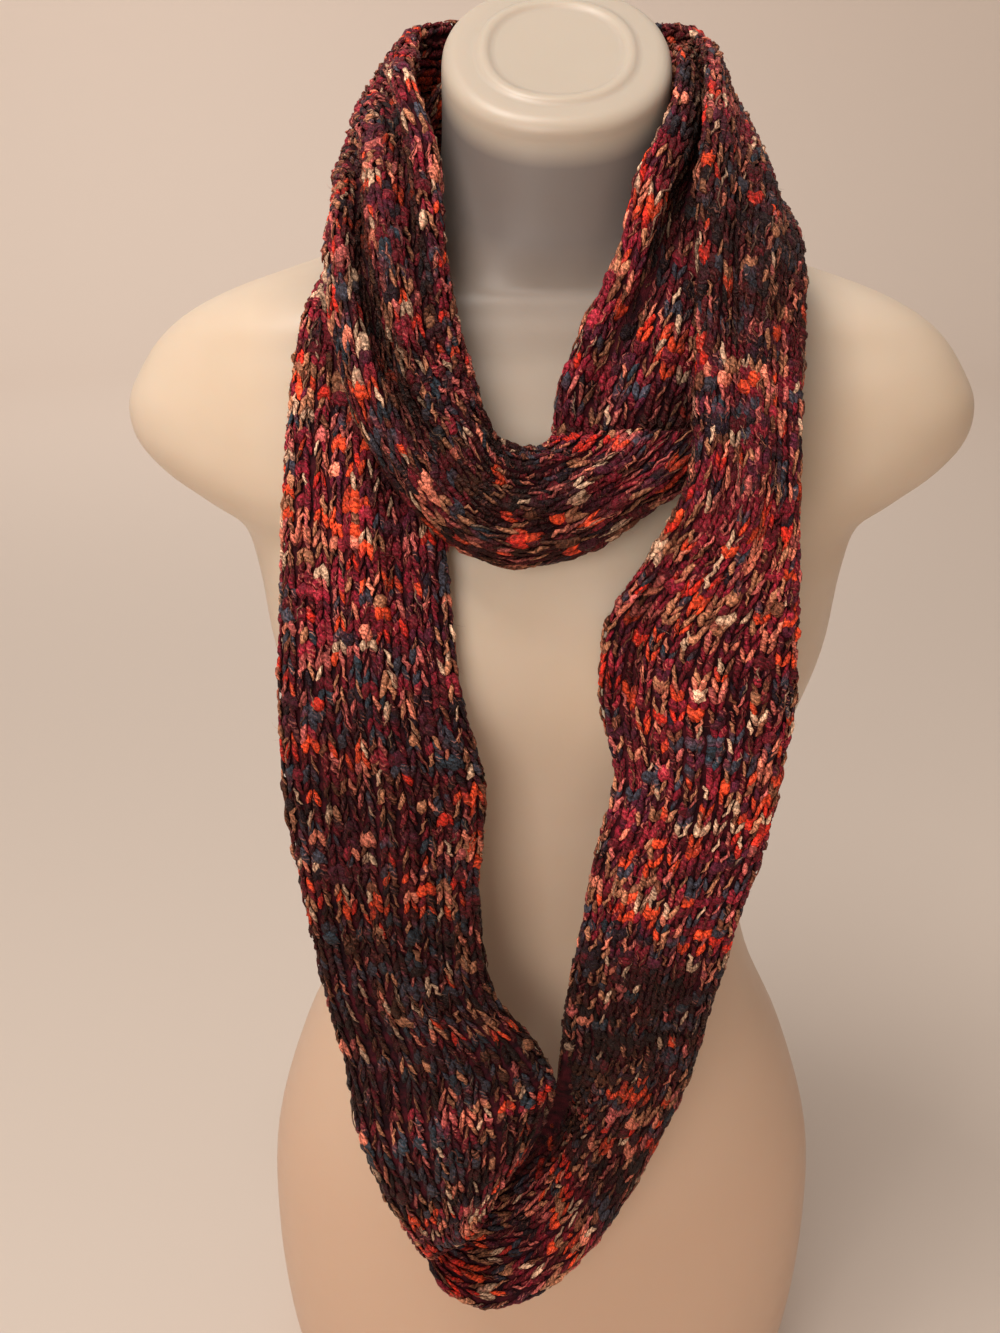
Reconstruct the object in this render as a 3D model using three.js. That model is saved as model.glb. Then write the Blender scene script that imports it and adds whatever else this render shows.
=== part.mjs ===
// Knitted infinity scarf, wound twice round the neck of a limbless dress form.
// Millimetres, +Z up, the form faces -Y. The origin is the middle of the form's flat base.
import * as THREE from 'three';

// Driving dimensions of the cloth
const WALL = 3;                  // thickness of the knitted wall
const SEAM_GAP = 0.3;            // space between two stretches that meet
const REST_GAP = 0.4;            // least space between the cloth and the form
const SECTION_POINTS = 24;       // corners of one cross section
const STEPS_PER_ROW = 2;         // rings from one table row to the next
const EDGE_FULLNESS = 0.72;      // exponent of the flattened section: 1 is an ellipse
const PUSH_ROUNDS = 4;           // passes that move the cloth out to the form's surface
const LEAST_PUSH_SLOPE = 0.35;   // keeps a push finite where the cloth stands edge-on to the form

// Driving dimensions of the dress form
const FORM_RING_POINTS = 40;
const FORM_ROUNDNESS = 2.2;      // superellipse exponent of its level sections
const NECK_RIM_RADIUS = 8;       // rounding between the neck's side and its top
const NECK_RIM_STEPS = 3;
const LEVEL_ROUNDS = 8;          // passes that find the tilted section through a point
const REACH_LIMIT = 1.3;         // how far outside the form that search looks
const PROBE = 0.5;               // step of the slopes taken on the form's surface
const BUST = { rise: 24, x: 71, z: 540, spreadX: 45, spreadZ: 55 };

// One row for each level section of the form, from the base to the neck's rim.
// height is the section's middle, halfWidth, front and back reach from it,
// shift moves it along Y and tilt raises its back edge, in degrees.
const FORM_COLUMNS = ['height', 'halfWidth', 'front', 'back', 'shift', 'tilt'];
const FORM_ROWS = [
  [0, 160, 92, 100, 0, 0],
  [60, 170, 98, 108, 0, 0],
  [130, 174, 100, 112, 0, 0],
  [200, 170, 99, 106, 0, 0],
  [270, 150, 93, 88, 0, 0],
  [330, 124, 86, 72, 0, 0],
  [385, 114, 82, 64, 0, 0],
  [440, 122, 86, 70, 0, 0],
  [490, 138, 94, 80, 0, 0],
  [535, 152, 102, 88, 0, 0],
  [580, 158, 104, 94, 0, 0],
  [606, 166, 100, 95, 0, 0],
  [620, 186, 96, 93, 0, 0],
  [634, 206, 92, 90, 0, 0],
  [650, 219, 87, 87, 0, 0],
  [668, 221, 82, 83, 0, 0],
  [685, 213, 76, 78, 0, 0],
  [700, 202, 68, 72, 0, 0],
  [712, 187, 64, 70, 0, 1],
  [722, 166, 60, 68, 0, 3],
  [730, 140, 58, 67, 0, 6],
  [738, 112, 56, 66, 0, 9],
  [748, 82, 56, 64, -1, 13],
  [765, 63, 57, 60, -3, 18],
  [790, 56, 58, 59, -6, 25],
  [829, 55, 60, 60, -11, 32],
];

// The plain raised ring on the neck's top: how far in from the side, and how high.
const NECK_TOP_COLUMNS = ['inset', 'rise'];
const NECK_TOP_ROWS = [[17, 8], [18, 9.5], [22, 9.5], [23, 8]];

// One row for each cross section of the scarf. The outer edge lies away from the neck and the
// inner edge by it. belly moves the middle out from the line between the edges, thick is the
// puffed thickness, fold the height of the lengthwise folds, and lift the cloth that lies below.
const SCARF_COLUMNS = [
  'outerX', 'outerY', 'outerZ', 'innerX', 'innerY', 'innerZ', 'belly', 'thick', 'fold', 'lift',
];

// From the turned-in fold at the bottom, up the wearer's right side (-X) and over the shoulder,
// behind the neck as the inner layer, and down as the panel on the +X side.
const LOWER_CHAIN = [
  { name: 'scarf_left_leg', folds: 2, rows: [
    [-68, -122, 216, -36, -114, 258, 0, 13, 0, 0],
    [-74, -138, 214, -30, -142, 266, 3, 14, 1, 0],
    [-82, -141, 232, -14, -149, 292, 6, 15, 2, 0],
    [-92, -140, 258, -2, -150, 322, 8, 15, 2, 0],
    [-103, -137, 300, 1, -149, 344, 8, 15, 2, 0],
    [-109, -136, 348, -10, -143, 364, 6, 14, 2, 0],
    [-117, -134, 388, -31, -136, 390, 4, 14, 2, 0],
    [-125, -134, 443, -37, -134, 446, 4, 14, 2, 0],
    [-132, -131, 499, -34, -133, 503, 5, 14, 2, 0],
    [-133, -124, 550, -44, -131, 546, 6, 14, 2, 0],
    [-131, -112, 594, -50, -119, 590, 6, 14, 2, 0],
    [-129, -97, 641, -52, -106, 638, 5, 14, 2, 0],
    [-126, -78, 683, -48, -88, 681, 3, 12, 1, 0],
    [-122, -60, 719, -48, -72, 717, 2, 10, 1, 0],
    [-119, -35, 736, -58, -46, 742, 1, 10, 0, 0],
    [-113, -4, 739, -72, -12, 763, 1, 10, 0, 0],
  ] },
  { name: 'scarf_inner_back', folds: 2, rows: [
    [-98, 29, 747, -70, 18, 793, 2, 9, 1, 0],
    [-78, 56, 746, -56, 40, 821, 2, 9, 1, 0],
    [-45, 77, 744, -33, 59, 830, 2, 10, 1, 0],
    [0, 84, 743, 0, 66, 834, 2, 10, 1, 0],
    [45, 76, 745, 33, 58, 836, 2, 10, 1, 0],
    [74, 56, 749, 54, 39, 838, 2, 9, 1, 0],
    [87, 30, 752, 60, 16, 838, 1, 9, 1, 0],
  ] },
  { name: 'scarf_neck_right', folds: 3, rows: [
    [93, 0, 750, 59, -14, 833, 1, 9, 0, 0],
    [96, -32, 744, 52, -46, 812, 1, 10, 1, 0],
    [100, -60, 728, 36, -66, 784, 2, 12, 2, 0],
    [96, -76, 708, 27, -72, 750, 2, 12, 2, 0],
    [90, -88, 688, 11, -82, 717, 2, 12, 2, 0],
    [84, -94, 670, 0, -90, 690, 1, 12, 1, 0],
    [76, -100, 654, -3, -96, 668, 0, 12, 0, 0],
  ] },
];

// From the tuck in front of that panel, round the front of the short loop and up its -X side,
// behind the neck as the outer layer, down the +X side and round the bottom of the long loop.
const UPPER_CHAIN = [
  { name: 'scarf_neck_front', folds: 3, rows: [
    [84, -112, 676, -3, -104, 671, 2, 13, 1, 13],
    [64, -117, 655, -7, -108, 668, 5, 16, 2, 13],
    [47, -119, 644, -11, -109, 667, 7, 18, 3, 13],
    [28, -122, 631, -15, -109, 667, 8, 18, 3, 10],
    [5, -122, 619, -20, -108, 668, 8, 19, 3, 4],
    [-20, -122, 615, -26, -106, 670, 8, 20, 3, 4],
    [-45, -121, 623, -32, -104, 676, 8, 21, 3, 8],
    [-66, -119, 641, -37, -101, 690, 7, 20, 3, 14],
    [-85, -113, 668, -42, -95, 706, 6, 20, 3, 16],
  ] },
  { name: 'scarf_neck_left', folds: 3, rows: [
    [-98, -104, 698, -47, -89, 722, 6, 20, 3, 15],
    [-105, -91, 729, -51, -79, 743, 6, 20, 3, 15],
    [-107, -66, 753, -54, -67, 768, 6, 20, 3, 15],
    [-105, -36, 767, -56, -50, 796, 5, 18, 3, 15],
    [-104, -2, 771, -62, -20, 825, 4, 15, 3, 14],
  ] },
  { name: 'scarf_outer_back', folds: 2, rows: [
    [-103, 38, 766, -69, 22, 840, 2, 12, 2, 12],
    [-94, 74, 760, -66, 56, 848, 3, 12, 2, 12],
    [-54, 100, 755, -41, 83, 850, 4, 13, 2, 13],
    [0, 108, 752, 0, 90, 850, 4, 13, 2, 13],
    [54, 100, 755, 41, 83, 850, 4, 13, 2, 13],
    [94, 75, 758, 66, 56, 848, 3, 12, 2, 12],
    [107, 41, 760, 72, 24, 842, 1, 12, 2, 12],
  ] },
  { name: 'scarf_right_leg', folds: 2, rows: [
    [110, 2, 758, 72, -12, 835, -1, 12, 1, 13],
    [111, -37, 756, 67, -58, 814, 0, 13, 2, 14],
    [111, -69, 746, 62, -81, 786, 3, 16, 2, 14],
    [109, -97, 723, 61, -101, 746, 4, 18, 2, 14],
    [107, -114, 690, 60, -119, 700, 4, 18, 2, 18],
    [107, -127, 652, 57, -135, 660, 4, 18, 2, 26],
    [109, -132, 616, 42, -126, 622, 6, 16, 2, 12],
    [111, -134, 580, 24, -114, 584, 9, 14, 2, 0],
    [112, -134, 546, 22, -116, 542, 9, 14, 2, 0],
    [108, -134, 508, 29, -126, 508, 6, 14, 2, 0],
    [102, -134, 468, 21, -132, 470, 4, 14, 2, 0],
    [92, -134, 428, 15, -134, 430, 4, 14, 2, 0],
    [83, -134, 384, 8, -134, 386, 4, 14, 2, 0],
    [74, -134, 338, 5, -132, 344, 4, 14, 2, 0],
  ] },
  { name: 'scarf_loop_bottom', folds: 2, rows: [
    [60, -135, 296, 4, -126, 322, 2, 14, 2, 0],
    [40, -138, 250, 1, -118, 312, -4, 14, 2, 0],
    [16, -140, 210, -5, -110, 294, -9, 14, 2, 0],
    [-12, -141, 184, -14, -104, 276, -12, 14, 2, 0],
    [-38, -141, 178, -26, -100, 260, -12, 13, 1, 0],
    [-59, -136, 189, -38, -97, 248, -8, 12, 1, 0],
    [-71, -120, 210, -48, -96, 244, -4, 11, 0, 0],
  ] },
];

const named = (columns, row) => Object.fromEntries(columns.map((column, i) => [column, row[i]]));

// A value on the smooth curve through four equally spaced ones, at the share t from b to c.
function between(a, b, c, d, t) {
  const slopeB = (c - a) / 2;
  const slopeC = (d - b) / 2;
  const bend = 3 * (c - b) - 2 * slopeB - slopeC;
  const ease = 2 * (b - c) + slopeB + slopeC;
  return b + t * (slopeB + t * (bend + t * ease));
}

const signedPower = (value, power) => Math.sign(value) * Math.abs(value) ** power;

// The form

const formRows = FORM_ROWS.map((row) => named(FORM_COLUMNS, row));

// Sizes of the form's section at a height, from the two rows on either side.
function formSection(height) {
  const last = formRows.length - 1;
  let i = formRows.findIndex((row) => row.height > height) - 1;
  if (i < 0) i = height < 0 ? 0 : last - 1;
  const [low, high] = [formRows[i], formRows[i + 1]];
  const t = THREE.MathUtils.clamp((height - low.height) / (high.height - low.height), 0, 1);
  const mix = (column) => THREE.MathUtils.lerp(low[column], high[column], t);
  return {
    halfWidth: mix('halfWidth'), front: mix('front'), back: mix('back'),
    shift: mix('shift'), tilt: THREE.MathUtils.degToRad(mix('tilt')),
  };
}

// How far the two soft mounds of the bust stand out at a point of the front.
function bustRise(x, z) {
  const mound = (side) => Math.exp(
    -(((x - side * BUST.x) / BUST.spreadX) ** 2) - ((z - BUST.z) / BUST.spreadZ) ** 2);
  return BUST.rise * (mound(-1) + mound(1));
}

// 1 on the form's surface, less inside it and more outside it.
function formLevel(x, y, z) {
  let height = z;
  let section = formSection(height);
  let along = y;
  for (let round = 0; round < LEVEL_ROUNDS; round += 1) {
    along = (y - section.shift) / Math.cos(section.tilt);
    along = THREE.MathUtils.clamp(along, -REACH_LIMIT * section.front, REACH_LIMIT * section.back);
    height = z - along * Math.sin(section.tilt);
    section = formSection(height);
  }
  along = (y - section.shift) / Math.cos(section.tilt);
  const reach = along > 0 ? section.back : section.front + bustRise(x, z);
  const sum = Math.abs(x / section.halfWidth) ** FORM_ROUNDNESS
    + Math.abs(along / reach) ** FORM_ROUNDNESS;
  return sum ** (1 / FORM_ROUNDNESS);
}

// Distance from the form's surface, to first order, and the way straight out of it.
function formDistance(point) {
  const level = (dx, dy, dz) => formLevel(point.x + dx, point.y + dy, point.z + dz);
  const slope = new THREE.Vector3(
    level(PROBE, 0, 0) - level(-PROBE, 0, 0),
    level(0, PROBE, 0) - level(0, -PROBE, 0),
    level(0, 0, PROBE) - level(0, 0, -PROBE)).divideScalar(2 * PROBE);
  const steepness = Math.max(slope.length(), 1e-4);
  return { distance: (level(0, 0, 0) - 1) / steepness, out: slope.divideScalar(steepness) };
}

// One closed ring of the form. inset draws it in and rise moves it along its own upward line.
function formRing(row, inset = 0, rise = 0) {
  const tilt = THREE.MathUtils.degToRad(row.tilt);
  const power = 2 / FORM_ROUNDNESS;
  return Array.from({ length: FORM_RING_POINTS }, (_, i) => {
    const turn = (2 * Math.PI * i) / FORM_RING_POINTS;
    const x = (row.halfWidth - inset) * signedPower(Math.cos(turn), power);
    const side = signedPower(Math.sin(turn), power);
    const reach = (side > 0 ? row.back : row.front + bustRise(x, row.height)) - inset;
    const along = reach * side;
    return new THREE.Vector3(
      x,
      row.shift + along * Math.cos(tilt) - rise * Math.sin(tilt),
      row.height + along * Math.sin(tilt) + rise * Math.cos(tilt));
  });
}

// Joins rings of equal length into one closed body with a flat fan at each end.
function loftSolid(rings) {
  const count = rings[0].length;
  const points = rings.flat();
  const faces = [];
  for (let ring = 0; ring < rings.length - 1; ring += 1) {
    for (let i = 0; i < count; i += 1) {
      const a = ring * count + i;
      const b = ring * count + ((i + 1) % count);
      faces.push(a, b, a + count, b, b + count, a + count);
    }
  }
  const capRing = (start, upward) => {
    const middle = new THREE.Vector3();
    for (let i = 0; i < count; i += 1) middle.addScaledVector(points[start + i], 1 / count);
    const centre = points.push(middle) - 1;
    for (let i = 0; i < count; i += 1) {
      const [a, b] = [start + i, start + ((i + 1) % count)];
      faces.push(...(upward ? [a, b, centre] : [b, a, centre]));
    }
  };
  capRing(0, false);
  capRing((rings.length - 1) * count, true);
  return geometryFrom(points, faces);
}

function geometryFrom(points, faces) {
  const geometry = new THREE.BufferGeometry().setFromPoints(points);
  geometry.setIndex(faces);
  geometry.computeVertexNormals();
  return geometry;
}

function makeForm() {
  const rings = formRows.map((row) => formRing(row));
  const rim = formRows[formRows.length - 1];
  for (let step = 1; step <= NECK_RIM_STEPS; step += 1) {
    const turn = (Math.PI / 2) * (step / NECK_RIM_STEPS);
    const inset = NECK_RIM_RADIUS * (1 - Math.cos(turn));
    rings.push(formRing(rim, inset, NECK_RIM_RADIUS * Math.sin(turn)));
  }
  NECK_TOP_ROWS.map((row) => named(NECK_TOP_COLUMNS, row))
    .forEach(({ inset, rise }) => rings.push(formRing(rim, inset, rise)));
  return loftSolid(rings);
}

// The scarf

// Rows of a whole chain, each with the smooth steps up to the next row.
function chainSections(chain) {
  const rows = chain.flatMap((stretch) => stretch.rows.map((row) => named(SCARF_COLUMNS, row)));
  const at = (i) => rows[THREE.MathUtils.clamp(i, 0, rows.length - 1)];
  const sections = [];
  for (let i = 0; i < rows.length - 1; i += 1) {
    for (let step = 0; step < STEPS_PER_ROW; step += 1) {
      const t = step / STEPS_PER_ROW;
      const value = (column) => between(
        at(i - 1)[column], at(i)[column], at(i + 1)[column], at(i + 2)[column], t);
      sections.push(Object.fromEntries(SCARF_COLUMNS.map((column) => [column, value(column)])));
    }
  }
  sections.push(rows[rows.length - 1]);
  return sections.map((section) => ({
    ...section,
    outer: new THREE.Vector3(section.outerX, section.outerY, section.outerZ),
    inner: new THREE.Vector3(section.innerX, section.innerY, section.innerZ),
  }));
}

// Adds to each section its middle, its way along the scarf and its way out from the body.
function orient(sections) {
  const middles = sections.map(({ outer, inner }) => outer.clone().lerp(inner, 0.5));
  sections.forEach((section, i) => {
    const before = middles[Math.max(i - 1, 0)];
    const after = middles[Math.min(i + 1, middles.length - 1)];
    const across = section.inner.clone().sub(section.outer);
    section.middle = middles[i];
    section.along = after.clone().sub(before).normalize();
    section.out = across.clone().cross(section.along).normalize();
    section.halfAcross = across.multiplyScalar(0.5);
  });
}

// Height of the lengthwise folds across a section, nothing at its two edges.
function foldHeight(section, folds, across) {
  return section.fold * Math.cos(Math.PI * folds * across) * (1 - across ** 4);
}

// How far the cloth at one place across the section must move out to clear what lies below it.
function pushOut(section, folds, across) {
  const place = (offset) => section.middle.clone()
    .addScaledVector(section.halfAcross, across).addScaledVector(section.out, offset);
  const half = (section.thick / 2) * (1 - across ** 2) ** (EDGE_FULLNESS / 2);
  const under = section.belly * (1 - across ** 2) + foldHeight(section, folds, across) - half;
  const needed = REST_GAP + section.lift;
  let push = 0;
  for (let round = 0; round < PUSH_ROUNDS; round += 1) {
    const { distance, out } = formDistance(place(under + push));
    const gain = Math.max(out.dot(section.out), LEAST_PUSH_SLOPE);
    push = Math.max(0, push + (needed - distance) / gain);
  }
  return push;
}

// One ring of the tube's outer wall, or of its inner wall where inset is the wall's thickness.
function tubeRing(section, folds, inset) {
  const halfWidth = section.halfAcross.length();
  const shrink = 1 - inset / halfWidth;
  return Array.from({ length: SECTION_POINTS }, (_, i) => {
    const turn = (2 * Math.PI * i) / SECTION_POINTS;
    const across = Math.cos(turn) * shrink;
    const half = section.thick / 2 - inset;
    const rise = half * signedPower(Math.sin(turn), EDGE_FULLNESS);
    const offset = section.belly * (1 - across ** 2) + foldHeight(section, folds, across)
      + pushOut(section, folds, across) + rise;
    return section.middle.clone()
      .addScaledVector(section.halfAcross, across).addScaledVector(section.out, offset);
  });
}

// A hollow tube with open ends: an outer and an inner wall, joined by a flat rim at each end.
function hollowTube(outerRings, innerRings) {
  const count = SECTION_POINTS;
  const loops = [...outerRings, ...innerRings.slice().reverse()];
  const points = loops.flat();
  const faces = [];
  for (let loop = 0; loop < loops.length; loop += 1) {
    const next = (loop + 1) % loops.length;
    for (let i = 0; i < count; i += 1) {
      const j = (i + 1) % count;
      const [a, b] = [loop * count + i, loop * count + j];
      const [c, d] = [next * count + i, next * count + j];
      faces.push(a, c, b, b, c, d);
    }
  }
  return geometryFrom(points, faces);
}

const knitMaterial = (color) => new THREE.MeshStandardMaterial({
  color, roughness: 0.9, metalness: 0, side: THREE.DoubleSide,
});
const formMaterial = new THREE.MeshStandardMaterial({
  color: 0xdcc9b4, roughness: 0.38, metalness: 0,
});

const KNIT_COLOURS = {
  scarf_left_leg: 0x6b2330, scarf_inner_back: 0x4c1c2a, scarf_neck_right: 0x6e2733,
  scarf_neck_front: 0x5a2029, scarf_neck_left: 0x552330, scarf_outer_back: 0x5c2431,
  scarf_right_leg: 0x6a222e, scarf_loop_bottom: 0x571d28,
};

// Moves a seam ring back along the scarf so that two stretches end a hair apart.
function drawBack(section, distance) {
  return { ...section, middle: section.middle.clone().addScaledVector(section.along, distance) };
}

function makeStretches(chain) {
  const sections = chainSections(chain);
  orient(sections);
  let first = 0;
  return chain.map((stretch, index) => {
    const isLast = index === chain.length - 1;
    const rowsHere = stretch.rows.length - (isLast ? 1 : 0);
    const last = first + rowsHere * STEPS_PER_ROW;
    const own = sections.slice(first, last + 1);
    if (index > 0) own[0] = drawBack(own[0], SEAM_GAP / 2);
    if (!isLast) own[own.length - 1] = drawBack(own[own.length - 1], -SEAM_GAP / 2);
    first = last;
    const outerRings = own.map((section) => tubeRing(section, stretch.folds, 0));
    const innerRings = own.map((section) => tubeRing(section, stretch.folds, WALL));
    const mesh = new THREE.Mesh(
      hollowTube(outerRings, innerRings), knitMaterial(KNIT_COLOURS[stretch.name]));
    mesh.name = stretch.name;
    return mesh;
  });
}

const scarfOnForm = new THREE.Group();
const form = new THREE.Mesh(makeForm(), formMaterial);
form.name = 'form_body';
scarfOnForm.add(form, ...makeStretches(LOWER_CHAIN), ...makeStretches(UPPER_CHAIN));

export default scarfOnForm;
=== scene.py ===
"""Looks of a knitted infinity scarf wound twice round the neck of a limbless dress form.

The tables are in millimetres, as in the part's source, and the meshes are in metres.
"""
import logging
import math
from dataclasses import dataclass, field, fields
from enum import Enum

import bmesh
import bpy
import numpy as np
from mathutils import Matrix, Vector
from mathutils.bvhtree import BVHTree


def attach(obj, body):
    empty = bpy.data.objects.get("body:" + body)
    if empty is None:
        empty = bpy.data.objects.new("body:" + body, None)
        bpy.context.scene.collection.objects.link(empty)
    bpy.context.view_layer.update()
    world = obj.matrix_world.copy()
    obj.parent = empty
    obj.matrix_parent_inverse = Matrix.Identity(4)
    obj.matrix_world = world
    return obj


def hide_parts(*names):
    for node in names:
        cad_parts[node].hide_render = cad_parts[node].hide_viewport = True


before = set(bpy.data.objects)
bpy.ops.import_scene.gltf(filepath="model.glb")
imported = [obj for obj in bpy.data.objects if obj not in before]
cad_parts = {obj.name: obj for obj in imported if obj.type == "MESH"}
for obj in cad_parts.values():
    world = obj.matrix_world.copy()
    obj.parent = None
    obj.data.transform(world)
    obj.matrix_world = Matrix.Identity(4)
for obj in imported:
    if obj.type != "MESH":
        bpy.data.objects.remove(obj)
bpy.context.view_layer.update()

LOG = logging.getLogger("scarf")
MM = 0.001
BODY = "root"
SEED = 2211
SEED_STEP = 10
SAME_PLACE = 1e-6
GRID_END = 1.001

Pair = tuple[float, float]
Triple = tuple[float, float, float]
Quad = tuple[float, float, float, float]
Colour = tuple[int, int, int]
Socket = bpy.types.NodeSocket

FORM_COLUMNS = ("height", "half_width", "front", "back", "shift", "tilt")
FORM_ROWS = (
    (0, 160, 92, 100, 0, 0),
    (60, 170, 98, 108, 0, 0),
    (130, 174, 100, 112, 0, 0),
    (200, 170, 99, 106, 0, 0),
    (270, 150, 93, 88, 0, 0),
    (330, 124, 86, 72, 0, 0),
    (385, 114, 82, 64, 0, 0),
    (440, 122, 86, 70, 0, 0),
    (490, 138, 94, 80, 0, 0),
    (535, 152, 102, 88, 0, 0),
    (580, 158, 104, 94, 0, 0),
    (606, 166, 100, 95, 0, 0),
    (620, 186, 96, 93, 0, 0),
    (634, 206, 92, 90, 0, 0),
    (650, 219, 87, 87, 0, 0),
    (668, 221, 82, 83, 0, 0),
    (685, 213, 76, 78, 0, 0),
    (700, 202, 68, 72, 0, 0),
    (712, 187, 64, 70, 0, 1),
    (722, 166, 60, 68, 0, 3),
    (730, 140, 58, 67, 0, 6),
    (738, 112, 56, 66, 0, 9),
    (748, 82, 56, 64, -1, 13),
    (765, 63, 57, 60, -3, 18),
    (790, 56, 58, 59, -6, 25),
    (829, 55, 60, 60, -11, 32),
)

SCARF_COLUMNS = (
    "outer_x", "outer_y", "outer_z", "inner_x", "inner_y", "inner_z",
    "belly", "thick", "fold", "lift",
)


class Chain(Enum):
    """Which of the scarf's two unbroken runs a stretch belongs to."""

    LOWER = "lower"
    UPPER = "upper"


@dataclass(frozen=True)
class Crease:
    """A soft lengthwise trough in the cloth's outer face, its places in millimetres and shares.

    start and end are measured along the scarf from the stretch's first row. across holds the
    trough's places from -1, the outer edge, to 1, the inner edge, evenly along its length. The
    stitches in a trough are darkened by its depth, as painted shade.
    """

    start: float
    end: float
    across: tuple[float, ...]
    depth: float
    width: float


@dataclass(frozen=True)
class Stretch:
    """One stretch of the scarf that shows: its rows, its folds and what it stands for.

    tones has a row for each place along it: the share of its length, then how many of its
    stitches are dark and how many are bright. The dark share also darkens the band's stitches,
    partly as dark-dyed yarn and partly as painted shade. twist is how many columns the knit turns by.
    """

    name: str
    chain: Chain
    folds: int
    slot: str
    held: str
    rests_on: tuple[str, ...]
    tones: tuple[Triple, ...]
    rows: tuple[tuple[float, ...], ...]
    twist: float = 0.0
    creases: tuple[Crease, ...] = ()


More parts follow.
